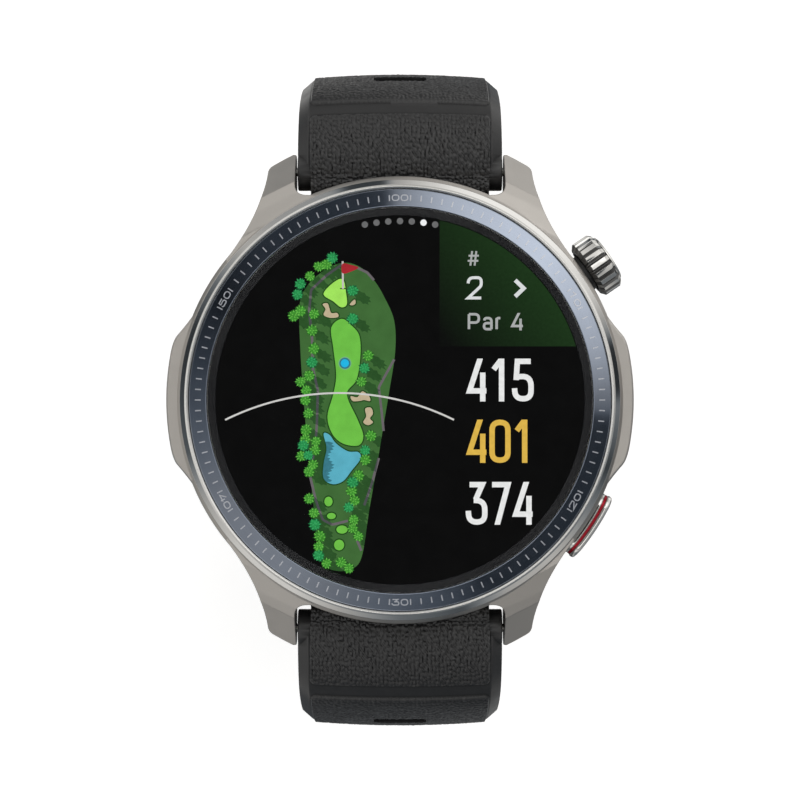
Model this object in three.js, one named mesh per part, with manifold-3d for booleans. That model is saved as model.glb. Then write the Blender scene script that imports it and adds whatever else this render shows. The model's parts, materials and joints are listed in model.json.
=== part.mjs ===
// A golf GPS wristwatch: round metal case, scale ring, flat crystal, knurled crown, curved side
// button, and a two-piece silicone strap with quick-release spring bars and a pin buckle.
// Millimetres. The origin is the centre of the flat sensor window on the back, +Z points out
// through the display, +Y to 12 o'clock and +X to 3 o'clock.

import * as THREE from "three";
import { mergeVertices } from "three/addons/utils/BufferGeometryUtils.js";
import Module from "manifold-3d";

const wasm = await Module();
wasm.setup();

// Driving dimensions
const CASE_RADIUS = 23.5; // widest line of the round flank
const GUARD_REACH = 24.5; // side shoulders, from the dial axis
const BACK_EDGE_Z = 2.0; // where the metal case starts above the rest plane
const CASE_TOP_Z = 9.9; // where the bezel sits on the case
const GLASS_TOP_Z = 12.2; // top of the crystal: the watch's thickness
const BORE_RADIUS = 20.4; // inside of the metal case
const GLASS_RADIUS = 19.88;
const SCREEN_RADIUS = 19.05; // lit area of a 1.5 inch round display
const LUG_GAP = 22.0; // takes a standard 22 mm strap
const LUG_REACH = 28.4; // lug tip from the dial axis, along the lug
const LUG_AZIMUTH = THREE.MathUtils.degToRad(26.5); // lug direction, from 12 o'clock
const BAR_Y = 24.2; // spring bar axis
const BAR_Z = 4.4;
const CONTROL_Z = 6.3; // height of the crown and button axes
const CROWN_AZIMUTH = THREE.MathUtils.degToRad(34.5); // above 3 o'clock
const BUTTON_AZIMUTH = THREE.MathUtils.degToRad(-33.6); // below 3 o'clock
const CROWN_RADIUS = 3.2;
const CROWN_TEETH = 20;
const BUTTON_LENGTH = 7.5;
const BUTTON_HEIGHT = 2.7;
const BUTTON_FACE = 24.7; // outer face of the button, from the dial axis
const STRAP_WIDTH = 21.6; // at the lugs
const STRAP_END_WIDTH = 20.0; // at the buckle and along the tail
const GAP = 0.05; // between pieces that are seated or glued together

// Facets of round pieces: large rings, and small rods and holes
const LARGE_ROUND = 40;
const SMALL_ROUND = 16;

const FINISH = {
  titanium: { color: 0x98958e, roughness: 0.38, metalness: 1 },
  polished: { color: 0xd4d3cf, roughness: 0.12, metalness: 1 },
  blueRing: { color: 0x2b3648, roughness: 0.25, metalness: 0.8 },
  crystal: { color: 0xe8eef2, roughness: 0.02, metalness: 0, transparent: true, opacity: 0.35 },
  screen: { color: 0x0a0a0a, roughness: 0.2, metalness: 0 },
  blackRubber: { color: 0x232323, roughness: 0.75, metalness: 0 },
  blackPolymer: { color: 0x161718, roughness: 0.5, metalness: 0 },
  redRing: { color: 0x7a0d1c, roughness: 0.3, metalness: 0.6 },
  steel: { color: 0xb5b5b3, roughness: 0.3, metalness: 1 },
  gold: { color: 0xd9b25a, roughness: 0.25, metalness: 1 },
  board: { color: 0x12352a, roughness: 0.6, metalness: 0 },
  cellWrap: { color: 0x8f9296, roughness: 0.4, metalness: 0.5 },
  amberFlex: { color: 0x9a5a1c, roughness: 0.5, metalness: 0 },
};
const materials = Object.fromEntries(
  Object.entries(FINISH).map(([name, look]) => [name, new THREE.MeshStandardMaterial(look)]),
);

// Joining and cutting

function toSolid(geometry) {
  const bare = new THREE.BufferGeometry();
  bare.setAttribute("position", geometry.getAttribute("position"));
  if (geometry.index) bare.setIndex(geometry.index);
  const merged = mergeVertices(bare, 1e-4);
  const vertProperties = new Float32Array(merged.attributes.position.array);
  const triVerts = new Uint32Array(merged.index.array);
  return new wasm.Manifold(new wasm.Mesh({ numProp: 3, vertProperties, triVerts }));
}

function fromSolid(solid) {
  const { vertProperties, triVerts } = solid.getMesh();
  const geometry = new THREE.BufferGeometry();
  geometry.setAttribute("position", new THREE.BufferAttribute(vertProperties, 3));
  geometry.setIndex(new THREE.BufferAttribute(triVerts, 1));
  return geometry;
}

function join(...pieces) {
  return fromSolid(pieces.map(toSolid).reduce((a, b) => a.add(b)));
}

function cut(blank, ...tools) {
  return fromSolid(tools.map(toSolid).reduce((a, b) => a.subtract(b), toSolid(blank)));
}

function overlapOf(...pieces) {
  return fromSolid(pieces.map(toSolid).reduce((a, b) => a.intersect(b)));
}

// Basic shapes

// Turns a piece that was made along Y to lie along the named axis.
function alongAxis(geometry, axis) {
  if (axis === "x") geometry.rotateZ(-Math.PI / 2);
  if (axis === "z") geometry.rotateX(Math.PI / 2);
  return geometry;
}

function rod(axis, radius, from, to, segments = SMALL_ROUND) {
  const bar = new THREE.CylinderGeometry(radius, radius, to - from, segments);
  return alongAxis(bar.translate(0, (from + to) / 2, 0), axis);
}

// A turned piece from [radius, height] points, listed anticlockwise round the section.
function turned(axis, section, segments = LARGE_ROUND) {
  const points = section.map(([radius, height]) => new THREE.Vector2(radius, height));
  return alongAxis(new THREE.LatheGeometry(points, segments), axis);
}

function sleeve(axis, inner, outer, from, to, segments = SMALL_ROUND) {
  const section = [[inner, from], [outer, from], [outer, to], [inner, to], [inner, from]];
  return turned(axis, section, segments);
}

function block(x0, x1, y0, y1, z0, z1) {
  const box = new THREE.BoxGeometry(x1 - x0, y1 - y0, z1 - z0);
  return box.translate((x0 + x1) / 2, (y0 + y1) / 2, (z0 + z1) / 2);
}

function plate(shape, z0, z1, curveSegments = 6) {
  const sheet = new THREE.ExtrudeGeometry(shape, { depth: z1 - z0, bevelEnabled: false, curveSegments });
  return sheet.translate(0, 0, z0);
}

function outline(corners) {
  return new THREE.Shape(corners.map(([x, y]) => new THREE.Vector2(x, y)));
}

// Stands a plate up, so that its thickness runs along +X, its length along +Y and its height along +Z.
function stoodUp(geometry) {
  return geometry.rotateX(Math.PI / 2).rotateZ(Math.PI / 2);
}

function roundedRectangle(width, height, radius) {
  const x = width / 2 - radius;
  const y = height / 2 - radius;
  const shape = new THREE.Shape();
  shape.absarc(x, y, radius, 0, Math.PI / 2);
  shape.absarc(-x, y, radius, Math.PI / 2, Math.PI);
  shape.absarc(-x, -y, radius, Math.PI, 1.5 * Math.PI);
  shape.absarc(x, -y, radius, 1.5 * Math.PI, 2 * Math.PI);
  return shape;
}

// A closed skin through rings of points that all have the same count, with flat ends.
function loft(rings) {
  const sides = rings[0].length;
  const positions = rings.flat().flatMap((p) => [p.x, p.y, p.z]);
  const index = [];
  for (let ring = 0; ring + 1 < rings.length; ring += 1) {
    for (let side = 0; side < sides; side += 1) {
      const a = ring * sides + side;
      const b = ring * sides + ((side + 1) % sides);
      index.push(a, a + sides, b, b, a + sides, b + sides);
    }
  }
  const last = (rings.length - 1) * sides;
  for (let side = 1; side + 1 < sides; side += 1) {
    index.push(0, side, side + 1, last, last + side + 1, last + side);
  }
  const skin = new THREE.BufferGeometry();
  skin.setAttribute("position", new THREE.Float32BufferAttribute(positions, 3));
  return skin.setIndex(index);
}

function node(name, geometry, material) {
  const mesh = new THREE.Mesh(geometry, materials[material]);
  mesh.name = name;
  return mesh;
}

// Case, bezel and crystal

// The right-hand side shoulder, between the round flank and its outer face.
function guardOutline() {
  const shape = new THREE.Shape();
  shape.moveTo(19, -11.2);
  shape.lineTo(20.4, -11.2);
  shape.quadraticCurveTo(21.9, -8.8, 23.3, -6.5);
  shape.quadraticCurveTo(24.0, -5.4, 24.2, -4.0);
  shape.quadraticCurveTo(2 * GUARD_REACH - 24.2, 0, 24.2, 4.0);
  shape.quadraticCurveTo(24.0, 5.4, 23.3, 6.5);
  shape.quadraticCurveTo(21.9, 8.8, 20.4, 11.2);
  shape.lineTo(19, 11.2);
  return shape;
}

function guard(side) {
  const bevel = { bevelThickness: 0.9, bevelSize: 0.5, bevelOffset: -0.5, bevelSegments: 1 };
  const options = { depth: 3.4, bevelEnabled: true, curveSegments: 5, ...bevel };
  const shoulder = new THREE.ExtrudeGeometry(guardOutline(), options).translate(0, 0, 4.6);
  return side < 0 ? shoulder.rotateZ(Math.PI) : shoulder;
}

// One lug is where its plan, seen from above, and its side profile overlap.
function lug(xSide, ySide) {
  const gapEdge = LUG_GAP / 2;
  const plan = new THREE.Shape();
  plan.moveTo(gapEdge, 14);
  plan.lineTo(17.8, 14.2);
  plan.lineTo(17.8, 15.2);
  plan.quadraticCurveTo(14.2, 19.6, 14.0, 24.0);
  plan.quadraticCurveTo(14.0, 24.6, 13.5, 24.9);
  plan.lineTo(gapEdge + 0.4, 26.1);
  plan.lineTo(gapEdge, 26.0);
  const side = [
    [17, BACK_EDGE_Z], [25.4, BACK_EDGE_Z], [27.9, 2.7], [LUG_REACH, 4.1],
    [25.35, 8.6], [24.2, 9.15], [22.6, 9.7], [17, 9.8],
  ];
  const profile = plate(outline(side), -6, 6).rotateX(Math.PI / 2).rotateZ(Math.PI / 2 - LUG_AZIMUTH);
  const piece = overlapOf(plate(plan, 0, 12), profile);
  if (xSide > 0 && ySide > 0) return piece;
  if (xSide < 0 && ySide < 0) return piece.rotateZ(Math.PI);
  const mirrored = toSolid(piece).mirror([1, 0, 0]);
  return ySide > 0 ? fromSolid(mirrored) : fromSolid(mirrored).rotateZ(Math.PI);
}

// Places a piece made along local +X on the case's flank, at the height of the controls.
function onFlank(geometry, azimuth) {
  return geometry.rotateZ(azimuth).translate(0, 0, CONTROL_Z);
}

const CROWN_HOLE_RADIUS = 2.15;
const CROWN_SEAT = { radius: 3.5, floor: 23.1 };
const BUTTON_HOLE_RADIUS = 1.65;
const BUTTON_POCKET_FLOOR = 22.3;
const BARREL_POCKET_RADIUS = 3.2;
const LUG_HOLE = { radius: 0.6, depth: 1.3 };

// A pill-shaped prism along local +X, round at both ends of its length.
function pill(length, height, from, to) {
  const face = roundedRectangle(length, height, height / 2 - 0.01);
  return stoodUp(plate(face, from, to, 3));
}

function midCase() {
  const flank = [
    [0, BACK_EDGE_Z], [21.3, BACK_EDGE_Z], [22.4, 3.2], [23.25, 4.7], [CASE_RADIUS, 6.0],
    [CASE_RADIUS, 7.3], [23.25, 8.6], [22.9, CASE_TOP_Z], [0, CASE_TOP_Z],
  ];
  const blank = join(
    turned("z", flank), guard(1), guard(-1), lug(1, 1), lug(-1, 1), lug(1, -1), lug(-1, -1),
  );
  const halfGap = LUG_GAP / 2;
  const strapPockets = [1, -1].map((ySide) =>
    rod("x", BARREL_POCKET_RADIUS, -halfGap, halfGap, 36).translate(0, ySide * BAR_Y, BAR_Z));
  const barHoles = [1, -1].map((ySide) => {
    const reach = halfGap + LUG_HOLE.depth;
    return rod("x", LUG_HOLE.radius, -reach, reach, 12).translate(0, ySide * BAR_Y, BAR_Z);
  });
  const speakerHoles = [-3, -1, 1, 3].map((k) => onFlank(rod("x", 0.45, 18, 26, 8), Math.PI + 0.06 * k));
  return cut(
    blank,
    rod("z", BORE_RADIUS, 0, 12, LARGE_ROUND),
    ...strapPockets,
    ...barHoles,
    ...speakerHoles,
    onFlank(rod("x", CROWN_HOLE_RADIUS, 18, 26), CROWN_AZIMUTH),
    onFlank(rod("x", CROWN_SEAT.radius, CROWN_SEAT.floor, 26, 36), CROWN_AZIMUTH),
    onFlank(rod("x", BUTTON_HOLE_RADIUS, 18, 26), BUTTON_AZIMUTH),
    onFlank(pill(BUTTON_LENGTH + 0.3, BUTTON_HEIGHT + 0.3, BUTTON_POCKET_FLOOR, 26), BUTTON_AZIMUTH),
  );
}

const INSERT = { inner: 19.98, outer: 21.78, floor: 10.95, innerTop: 11.75, outerTop: 11.35 };
const GLASS_FLOOR_Z = 10.75;
const GLASS_SEAT_Z = 10.4;
const GLASS_SEAT_RADIUS = 19.4;

function bezelRing() {
  const ledge = INSERT.floor - GAP;
  return turned("z", [
    [GLASS_SEAT_RADIUS, CASE_TOP_Z + GAP], [22.8, CASE_TOP_Z + GAP], [22.8, 10.9], [22.25, 11.65],
    [22.05, 11.8], [21.85, 11.65], [21.85, ledge], [GLASS_RADIUS + 0.05, ledge],
    [GLASS_RADIUS + 0.05, GLASS_SEAT_Z], [GLASS_SEAT_RADIUS, GLASS_SEAT_Z],
    [GLASS_SEAT_RADIUS, CASE_TOP_Z + GAP],
  ]);
}

function scaleRing() {
  return turned("z", [
    [INSERT.inner, INSERT.floor], [INSERT.outer, INSERT.floor], [INSERT.outer, INSERT.outerTop],
    [INSERT.inner, INSERT.innerTop], [INSERT.inner, INSERT.floor],
  ]);
}

function displayGlass() {
  return turned("z", [
    [0, GLASS_FLOOR_Z], [GLASS_RADIUS, GLASS_FLOOR_Z], [GLASS_RADIUS, 11.9],
    [GLASS_RADIUS - 0.35, GLASS_TOP_Z], [0, GLASS_TOP_Z],
  ]);
}

const DISPLAY_RADIUS = SCREEN_RADIUS + 0.2;

function addTopStack(root) {
  root.add(
    node("mid_case", midCase(), "titanium"),
    node("bezel_ring", bezelRing(), "polished"),
    node("scale_ring", scaleRing(), "blueRing"),
    node("display_glass", displayGlass(), "crystal"),
    node("glass_gasket", sleeve("z", 19.43, 19.84, 10.43, 10.7, LARGE_ROUND), "blackRubber"),
    node("display_panel", rod("z", DISPLAY_RADIUS, 9.95, 10.7, LARGE_ROUND), "screen"),
    node("display_flex", block(-3.5, 3.5, -18.2, -14.5, 9.35, 9.9), "amberFlex"),
  );
}

// Inside the case, from the display down to the battery

const SCREW_CIRCLE = 18.4;
const SCREW_AZIMUTHS = [45, 135, 225, 315].map(THREE.MathUtils.degToRad);
const FLOOR_Z = { from: 6.95, to: 7.45 }; // chassis floor between the battery and the board

function atAzimuth(geometry, radius, azimuth) {
  return geometry.translate(radius * Math.cos(azimuth), radius * Math.sin(azimuth), 0);
}

function chassis() {
  const rim = sleeve("z", 19.1, 20.2, 6.95, 8.9, LARGE_ROUND);
  const floor = rod("z", 19.4, FLOOR_Z.from, FLOOR_Z.to, LARGE_ROUND);
  const posts = SCREW_AZIMUTHS.map((a) => atAzimuth(rod("z", 1.3, 2.3, 7.2, 12), SCREW_CIRCLE, a));
  const screwHoles = SCREW_AZIMUTHS.map((a) => atAzimuth(rod("z", 0.75, 0, 6.2, 12), SCREW_CIRCLE, a));
  const controlWindows = [CROWN_AZIMUTH, BUTTON_AZIMUTH].map((a) =>
    block(13.5, 22, -2.1, 2.1, 3, 10).rotateZ(a));
  return cut(join(rim, floor, ...posts), ...screwHoles, ...controlWindows);
}

function mainBoard() {
  const notches = [CROWN_AZIMUTH, BUTTON_AZIMUTH].map((a) => block(13.5, 22, -2.3, 2.3, 7, 10).rotateZ(a));
  const flexSlot = block(-4, 4, -20, -17.4, 7, 10);
  return cut(rod("z", 18.8, 7.55, 8.35, 48), flexSlot, ...notches);
}

function antennaArc() {
  const arc = new THREE.Shape();
  const start = THREE.MathUtils.degToRad(70);
  const end = THREE.MathUtils.degToRad(290);
  arc.absarc(0, 0, 20.1, start, end, false);
  arc.absarc(0, 0, 19.3, end, start, true);
  return plate(arc, 9.0, 9.6, 16);
}

function addInsides(root) {
  const cell = plate(roundedRectangle(24, 23, 3), 3.1, 6.85, 4).translate(-4.5, 0, 0);
  const shield = plate(roundedRectangle(15, 13, 1), 8.4, 9.25, 3).translate(-3, 2, 0);
  const speaker = plate(roundedRectangle(10, 5.4, 1), 3.3, 6.6, 3).translate(1.5, 15.1, 0);
  root.add(
    node("chassis", chassis(), "blackPolymer"),
    node("main_board", mainBoard(), "board"),
    node("processor_shield", shield, "steel"),
    node("gnss_antenna", antennaArc(), "gold"),
    node("battery", cell, "cellWrap"),
    node("battery_flex", block(7.6, 10.4, -2, 2, 4.6, 5.0), "amberFlex"),
    node("speaker", speaker, "blackPolymer"),
    node("microphone", block(-8.8, -5.8, -16.8, -14.6, 5.2, 6.3), "steel"),
    node("pressure_sensor", block(8.2, 10.6, -10.6, -8.2, 4.6, 5.7), "steel"),
  );
}

const HAPTIC = { x: 2, y: -15.7, from: 3.3, to: 6.5, radius: 3.6, wall: 0.35, travel: 0.3 };

// The vibration motor: an open cup, and the weight that shakes up and down inside it.
function hapticCup() {
  const { from, to, radius, wall } = HAPTIC;
  const section = [
    [0, from], [radius, from], [radius, to],
    [radius - wall, to], [radius - wall, from + wall], [0, from + wall],
  ];
  return turned("z", section, SMALL_ROUND).translate(HAPTIC.x, HAPTIC.y, 0);
}

function hapticWeight() {
  const { from, to, radius, wall, travel } = HAPTIC;
  const slack = travel + 0.1;
  const weight = rod("z", radius - wall - 0.25, from + wall + slack, to - slack - 0.1);
  return weight.translate(HAPTIC.x, HAPTIC.y, 0);
}

// Back of the case

const PIN_SPACING = 5.2;
const PIN_Y = -13.2;
const WINDOW_RADIUS = 8.7;

function backCover() {
  const shell = turned("z", [
    [WINDOW_RADIUS + 0.15, 0.75], [16.8, 0.9], [20.4, 1.35], [21.1, 1.95], [19.7, 1.95], [19.7, 3.0],
    [19.0, 3.0], [19.0, 1.9], [WINDOW_RADIUS + 0.15, 1.9], [WINDOW_RADIUS + 0.15, 0.75],
  ]);
  const post = (azimuth) => atAzimuth(rod("z", 1.75, 2.2, 4, 16), SCREW_CIRCLE, azimuth);
  const screwHole = (azimuth) => atAzimuth(rod("z", 0.85, 0, 4, 12), SCREW_CIRCLE, azimuth);
  const headSeat = (azimuth) => atAzimuth(rod("z", 1.35, 0, 1.45, 16), SCREW_CIRCLE, azimuth);
  const holes = [post, screwHole, headSeat].flatMap((shape) => SCREW_AZIMUTHS.map(shape));
  const pinHole = (side) => rod("z", 1.1, 0, 3, 16).translate((side * PIN_SPACING) / 2, PIN_Y, 0);
  return cut(shell, ...holes, pinHole(-1), pinHole(1));
}

function sensorWindow() {
  return turned("z", [[0, 0], [6.4, 0], [8.2, 0.35], [WINDOW_RADIUS, 0.75], [WINDOW_RADIUS, 1.6], [0, 1.6]]);
}

// A screw with a six-sided socket in its head.
function caseScrew(azimuth) {
  const head = rod("z", 1.2, 1.05, 1.4, 16);
  const shank = rod("z", 0.65, 1.3, 5.9, 12);
  const socket = rod("z", 0.55, 0, 1.25, 6);
  return atAzimuth(cut(join(head, shank), socket), SCREW_CIRCLE, azimuth);
}

function addBack(root) {
  root.add(
    node("back_cover", backCover(), "blackPolymer"),
    node("back_gasket", sleeve("z", 19.78, 20.32, 2.1, 2.7, LARGE_ROUND), "blackRubber"),
    node("sensor_window", sensorWindow(), "crystal"),
    node("sensor_board", rod("z", 7.6, 1.95, 2.75, 36), "board"),
  );
  [-1, 1].forEach((side, i) => {
    const pin = rod("z", 0.95, 0.6, 2.6, 16).translate((side * PIN_SPACING) / 2, PIN_Y, 0);
    root.add(node(`charge_pin_${i + 1}`, pin, "gold"));
  });
  SCREW_AZIMUTHS.forEach((azimuth, i) => root.add(node(`case_screw_${i + 1}`, caseScrew(azimuth), "steel")));
}

// Crown, along the local +X axis of its own group

const CROWN_BACK = 23.95; // inner face of the knob at rest

function crownOutline() {
  const corners = [];
  for (let tooth = 0; tooth < CROWN_TEETH; tooth += 1) {
    const pitch = (2 * Math.PI) / CROWN_TEETH;
    const points = [[-0.38, CROWN_RADIUS], [0.38, CROWN_RADIUS], [0.5, CROWN_RADIUS - 0.28]];
    points.forEach(([offset, radius]) => {
      const angle = (tooth + offset) * pitch;
      corners.push([radius * Math.cos(angle), radius * Math.sin(angle)]);
    });
  }
  return outline(corners);
}

function crownKnob() {
  const bevel = { bevelThickness: 0.3, bevelSize: 0.28, bevelOffset: -0.28, bevelSegments: 1 };
  const blank = new THREE.ExtrudeGeometry(crownOutline(), { depth: 1.8, bevelEnabled: true, ...bevel });
  blank.translate(0, 0, CROWN_BACK + 0.3).rotateY(Math.PI / 2);
  const socket = rod("x", 1.08, 23, 25.3);
  const tubeRecess = rod("x", 2.3, 23, CROWN_BACK + 0.6);
  return cut(blank, socket, tubeRecess);
}

function addCrown(root) {
  const group = new THREE.Group();
  group.position.z = CONTROL_Z;
  group.rotation.z = CROWN_AZIMUTH;
  const knobFront = CROWN_BACK + 2.4;
  const capBack = knobFront + GAP;
  const dome = [[0, capBack], [2.55, capBack], [2.45, capBack + 0.17], [0, capBack + 0.22]];
  const encoder = join(block(14.4, 16.9, -1.9, 1.9, -1.6, 1.2), rod("x", 0.8, 16.5, 17.2, 12));
  group.add(
    node("crown_knob", crownKnob(), "titanium"),
    node("crown_cap", turned("x", dome, SMALL_ROUND), "polished"),
    node("crown_stem", rod("x", 1.0, 18.0, 25.2), "steel"),
    node("crown_seal", sleeve("x", 1.06, 1.42, 21.6, 22.3), "blackRubber"),
    node("crown_clip", sleeve("x", 1.06, 1.9, 20.1, 20.4), "steel"),
    node("crown_tube", sleeve("x", 1.5, 2.0, 20.5, 23.85), "blackPolymer"),
    node("crown_push_plate", block(17.6, 17.9, -1.7, 1.7, -1.4, 1.2), "steel"),
    node("crown_encoder", encoder, "blackPolymer"),
  );
  root.add(group);
}

// Side button, along the local +X axis of its own group

const BUTTON_BACK = 22.95;
const BUTTON_GROOVE = { from: 23.78, to: 24.08, depth: 0.3 };

// The part of a prism that lies between two radii from the dial axis.
function betweenRadii(prism, inner, outer) {
  const shell = cut(rod("z", outer, -4, 4, 96), rod("z", inner, -5, 5, 96));
  return overlapOf(prism, shell);
}

function buttonCap() {
  const { from, to, depth } = BUTTON_GROOVE;
  const body = pill(BUTTON_LENGTH, BUTTON_HEIGHT, BUTTON_BACK, 26);
  const core = pill(BUTTON_LENGTH - 2 * depth, BUTTON_HEIGHT - 2 * depth, 23.3, 26);
  const base = betweenRadii(body, 20, from);
  const neck = betweenRadii(core, 20, to + 0.1);
  const face = betweenRadii(body, to, BUTTON_FACE);
  return cut(join(base, neck, face), rod("x", 0.86, 22, 23.5));
}

function buttonRing() {
  const { from, to, depth } = BUTTON_GROOVE;
  const outside = pill(BUTTON_LENGTH - 0.1, BUTTON_HEIGHT - 0.1, 22, 26);
  const inside = pill(BUTTON_LENGTH - 2 * depth + 0.1, BUTTON_HEIGHT - 2 * depth + 0.1, 21, 27);
  return betweenRadii(cut(outside, inside), from + 0.02, to - 0.02);
}

function addButton(root) {
  const group = new THREE.Group();
  group.position.z = CONTROL_Z;
  group.rotation.z = BUTTON_AZIMUTH;
  const contact = join(block(15.2, 18.2, -1.9, 1.9, -1.5, 1.2), rod("x", 0.8, 18, 18.5, 12));
  group.add(
    node("button_cap", buttonCap(), "polished"),
    node("button_ring", buttonRing(), "redRing"),
    node("button_stem", rod("x", 0.8, 19.0, 23.4), "steel"),
    node("button_seal", sleeve("x", 0.86, 1.05, 21.2, 21.7), "blackRubber"),
    node("button_clip", sleeve("x", 0.86, 1.5, 20.1, 20.4), "steel"),
    node("button_tube", sleeve("x", 1.12, 1.55, 20.5, 22.2), "steel"),
    node("button_switch", contact, "blackPolymer"),
  );
  root.add(group);
}

// Strap

// Each half is [turn in degrees, length] runs, starting at the spring bar and tilted up by 15.
const ROOT_RUNS = [[15, 1.8], [55, 6.4], [30, 8.6]];
const BUCKLE_RUNS = [...ROOT_RUNS, [60, 32], [0, 25]];
const TAIL_RUNS = [...ROOT_RUNS, [5, 10], [72, 87]];
const START_TILT = -15;
const STATION_STEP = 4.4; // longest distance between sections of the loft

// Points along the middle of the strap: distance, y, z, and how far the strap has turned down.
function centreLine(runs) {
  const stations = [{ s: 0, y: BAR_Y, z: BAR_Z, heading: THREE.MathUtils.degToRad(START_TILT) }];
  runs.forEach(([turn, length]) => {
    const steps = Math.max(2, Math.ceil(length / STATION_STEP));
    const stepTurn = THREE.MathUtils.degToRad(turn) / steps;
    for (let i = 0; i < steps; i += 1) {
      const last = stations[stations.length - 1];
      const middle = last.heading + stepTurn / 2;
      const ds = length / steps;
      stations.push({
        s: last.s + ds,
        y: last.y + ds * Math.cos(middle),
        z: last.z - ds * Math.sin(middle),
        heading: last.heading + stepTurn,
      });
    }
  });
  return stations;
}

const smooth = THREE.MathUtils.smoothstep;
const strapThickness = (s) => 4.7 - 1.5 * smooth(s, 1, 13) - 0.6 * smooth(s, 13, 40);
const strapWidth = (s) => STRAP_WIDTH - (STRAP_WIDTH - STRAP_END_WIDTH) * smooth(s, 0, 52);

// The section across the strap: flat inside, and a low crown with chamfered shoulders outside.
function strapSection(station, width) {
  const { y, z, heading } = station;
  const half = strapThickness(station.s) / 2;
  const side = width / 2;
  const points = [
    [-side, -half], [side, -half], [side, half - 1.35], [side - 1.1, half - 0.4],
    [0, half], [1.1 - side, half - 0.4], [-side, half - 1.35],
  ];
  return points.map(([x, out]) =>
    new THREE.Vector3(x, y + out * Math.sin(heading), z + out * Math.cos(heading)));
}

const EDGE_BARREL_RADIUS = 2.0;
const CENTRE_BARREL = { radius: 2.9, halfWidth: 9.4 };
const BAR_BORE_RADIUS = 1.1;
const LEVER_X = 6.8; // the quick-release knob, from the strap's middle
const LEVER_TRAVEL = 1.3;

function atBar(geometry) {
  return geometry.translate(0, BAR_Y, BAR_Z);
}

// The end between the lugs: a barrel round the spring bar, stepped in at both corners.
function withBarRoot(blade) {
  const centre = atBar(rod("x", CENTRE_BARREL.radius, -CENTRE_BARREL.halfWidth, CENTRE_BARREL.halfWidth, 36));
  const edge = atBar(rod("x", EDGE_BARREL_RADIUS, -STRAP_WIDTH / 2, STRAP_WIDTH / 2, 36));
  const bore = atBar(rod("x", BAR_BORE_RADIUS, -12, 12));
  const leverSlot = atBar(block(LEVER_X - LEVER_TRAVEL - 1, LEVER_X + 1, -1, 1, -4, 0));
  return cut(join(blade, centre, edge), bore, leverSlot);
}

function bladeOf(stations, widthOf) {
  return loft(stations.map((station) => strapSection(station, widthOf(station.s))));
}

// Moves a piece made at the origin, along +Y with its outside facing +Z, to a place on the strap.
function placeOnStrap(geometry, station) {
  return geometry.rotateX(-station.heading).translate(0, station.y, station.z);
}

const buckleLine = centreLine(BUCKLE_RUNS);
const tailLine = centreLine(TAIL_RUNS);
const buckleEnd = buckleLine[buckleLine.length - 1];
const BUCKLE_BAR_RADIUS = 0.75;
const TONGUE_WIDTH = 2.6;

function buckleHalf() {
  const blade = withBarRoot(bladeOf(buckleLine, strapWidth));
  const barrel = placeOnStrap(rod("x", 1.9, -STRAP_END_WIDTH / 2, STRAP_END_WIDTH / 2), buckleEnd);
  const bore = placeOnStrap(rod("x", BUCKLE_BAR_RADIUS + 0.2, -12, 12), buckleEnd);
  const notch = placeOnStrap(block(-1.9, 1.9, -4.2, 3, -4, 4), buckleEnd);
  return cut(join(blade, barrel), bore, notch);
}

// The tail narrows to a round point over its last run.
const TAIL_LENGTH = tailLine[tailLine.length - 1].s;
const TIP_LENGTH = 8;

function tailWidth(s) {
  const fromTip = Math.max(0, (s - (TAIL_LENGTH - TIP_LENGTH)) / TIP_LENGTH);
  return strapWidth(s) * Math.sqrt(1 - 0.8 * fromTip ** 2);
}

const HOLE_COUNT = 9;
const HOLE_PITCH = 6.2;
const HOLES_START = 51; // first hole, from the spring bar along the strap

// The point of a path at a distance along it.
function stationAt(line, s) {
  const next = line.findIndex((station) => station.s >= s);
  const a = line[next - 1];
  const b = line[next];
  const t = (s - a.s) / (b.s - a.s);
  const mix = (key) => a[key] + t * (b[key] - a[key]);
  return { s, y: mix("y"), z: mix("z"), heading: mix("heading") };
}

function tailHalf() {
  const blade = withBarRoot(bladeOf(tailLine, tailWidth));
  const holes = Array.from({ length: HOLE_COUNT }, (_, i) => {
    const slot = plate(roundedRectangle(3.4, 2.2, 1.05), -3, 3, 2);
    return placeOnStrap(slot, stationAt(tailLine, HOLES_START + i * HOLE_PITCH));
  });
  return cut(blade, ...holes);
}

// Spring bar: a tube with a fixed tip at -X, and at +X a slotted bore for the sliding tip.
function springBar() {
  const tube = join(rod("x", 0.9, -9.6, 9.6), rod("x", 0.45, -11.9, -9, 12));
  const bore = rod("x", 0.6, LEVER_X - LEVER_TRAVEL - 0.9, 11, 16);
  const slot = block(LEVER_X - LEVER_TRAVEL - 0.65, LEVER_X + 0.65, -0.55, 0.55, -2, 0);
  return atBar(cut(tube, bore, slot));
}

// The sliding tip and the knob that a fingernail pulls.
function releaseLever() {
  const tip = rod("x", 0.45, LEVER_X - 0.6, 11.9, 12);
  const knob = rod("z", 0.45, -2.3, 0, 12).translate(LEVER_X, 0, 0);
  return atBar(join(tip, knob));
}

// Buckle, made flat with the strap running along +Y and its bar at the origin

const BUCKLE = { length: 12.5, width: 24.6, thickness: 2.4, corner: 3, rim: 2.4, barFromEnd: 2.2 };

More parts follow.
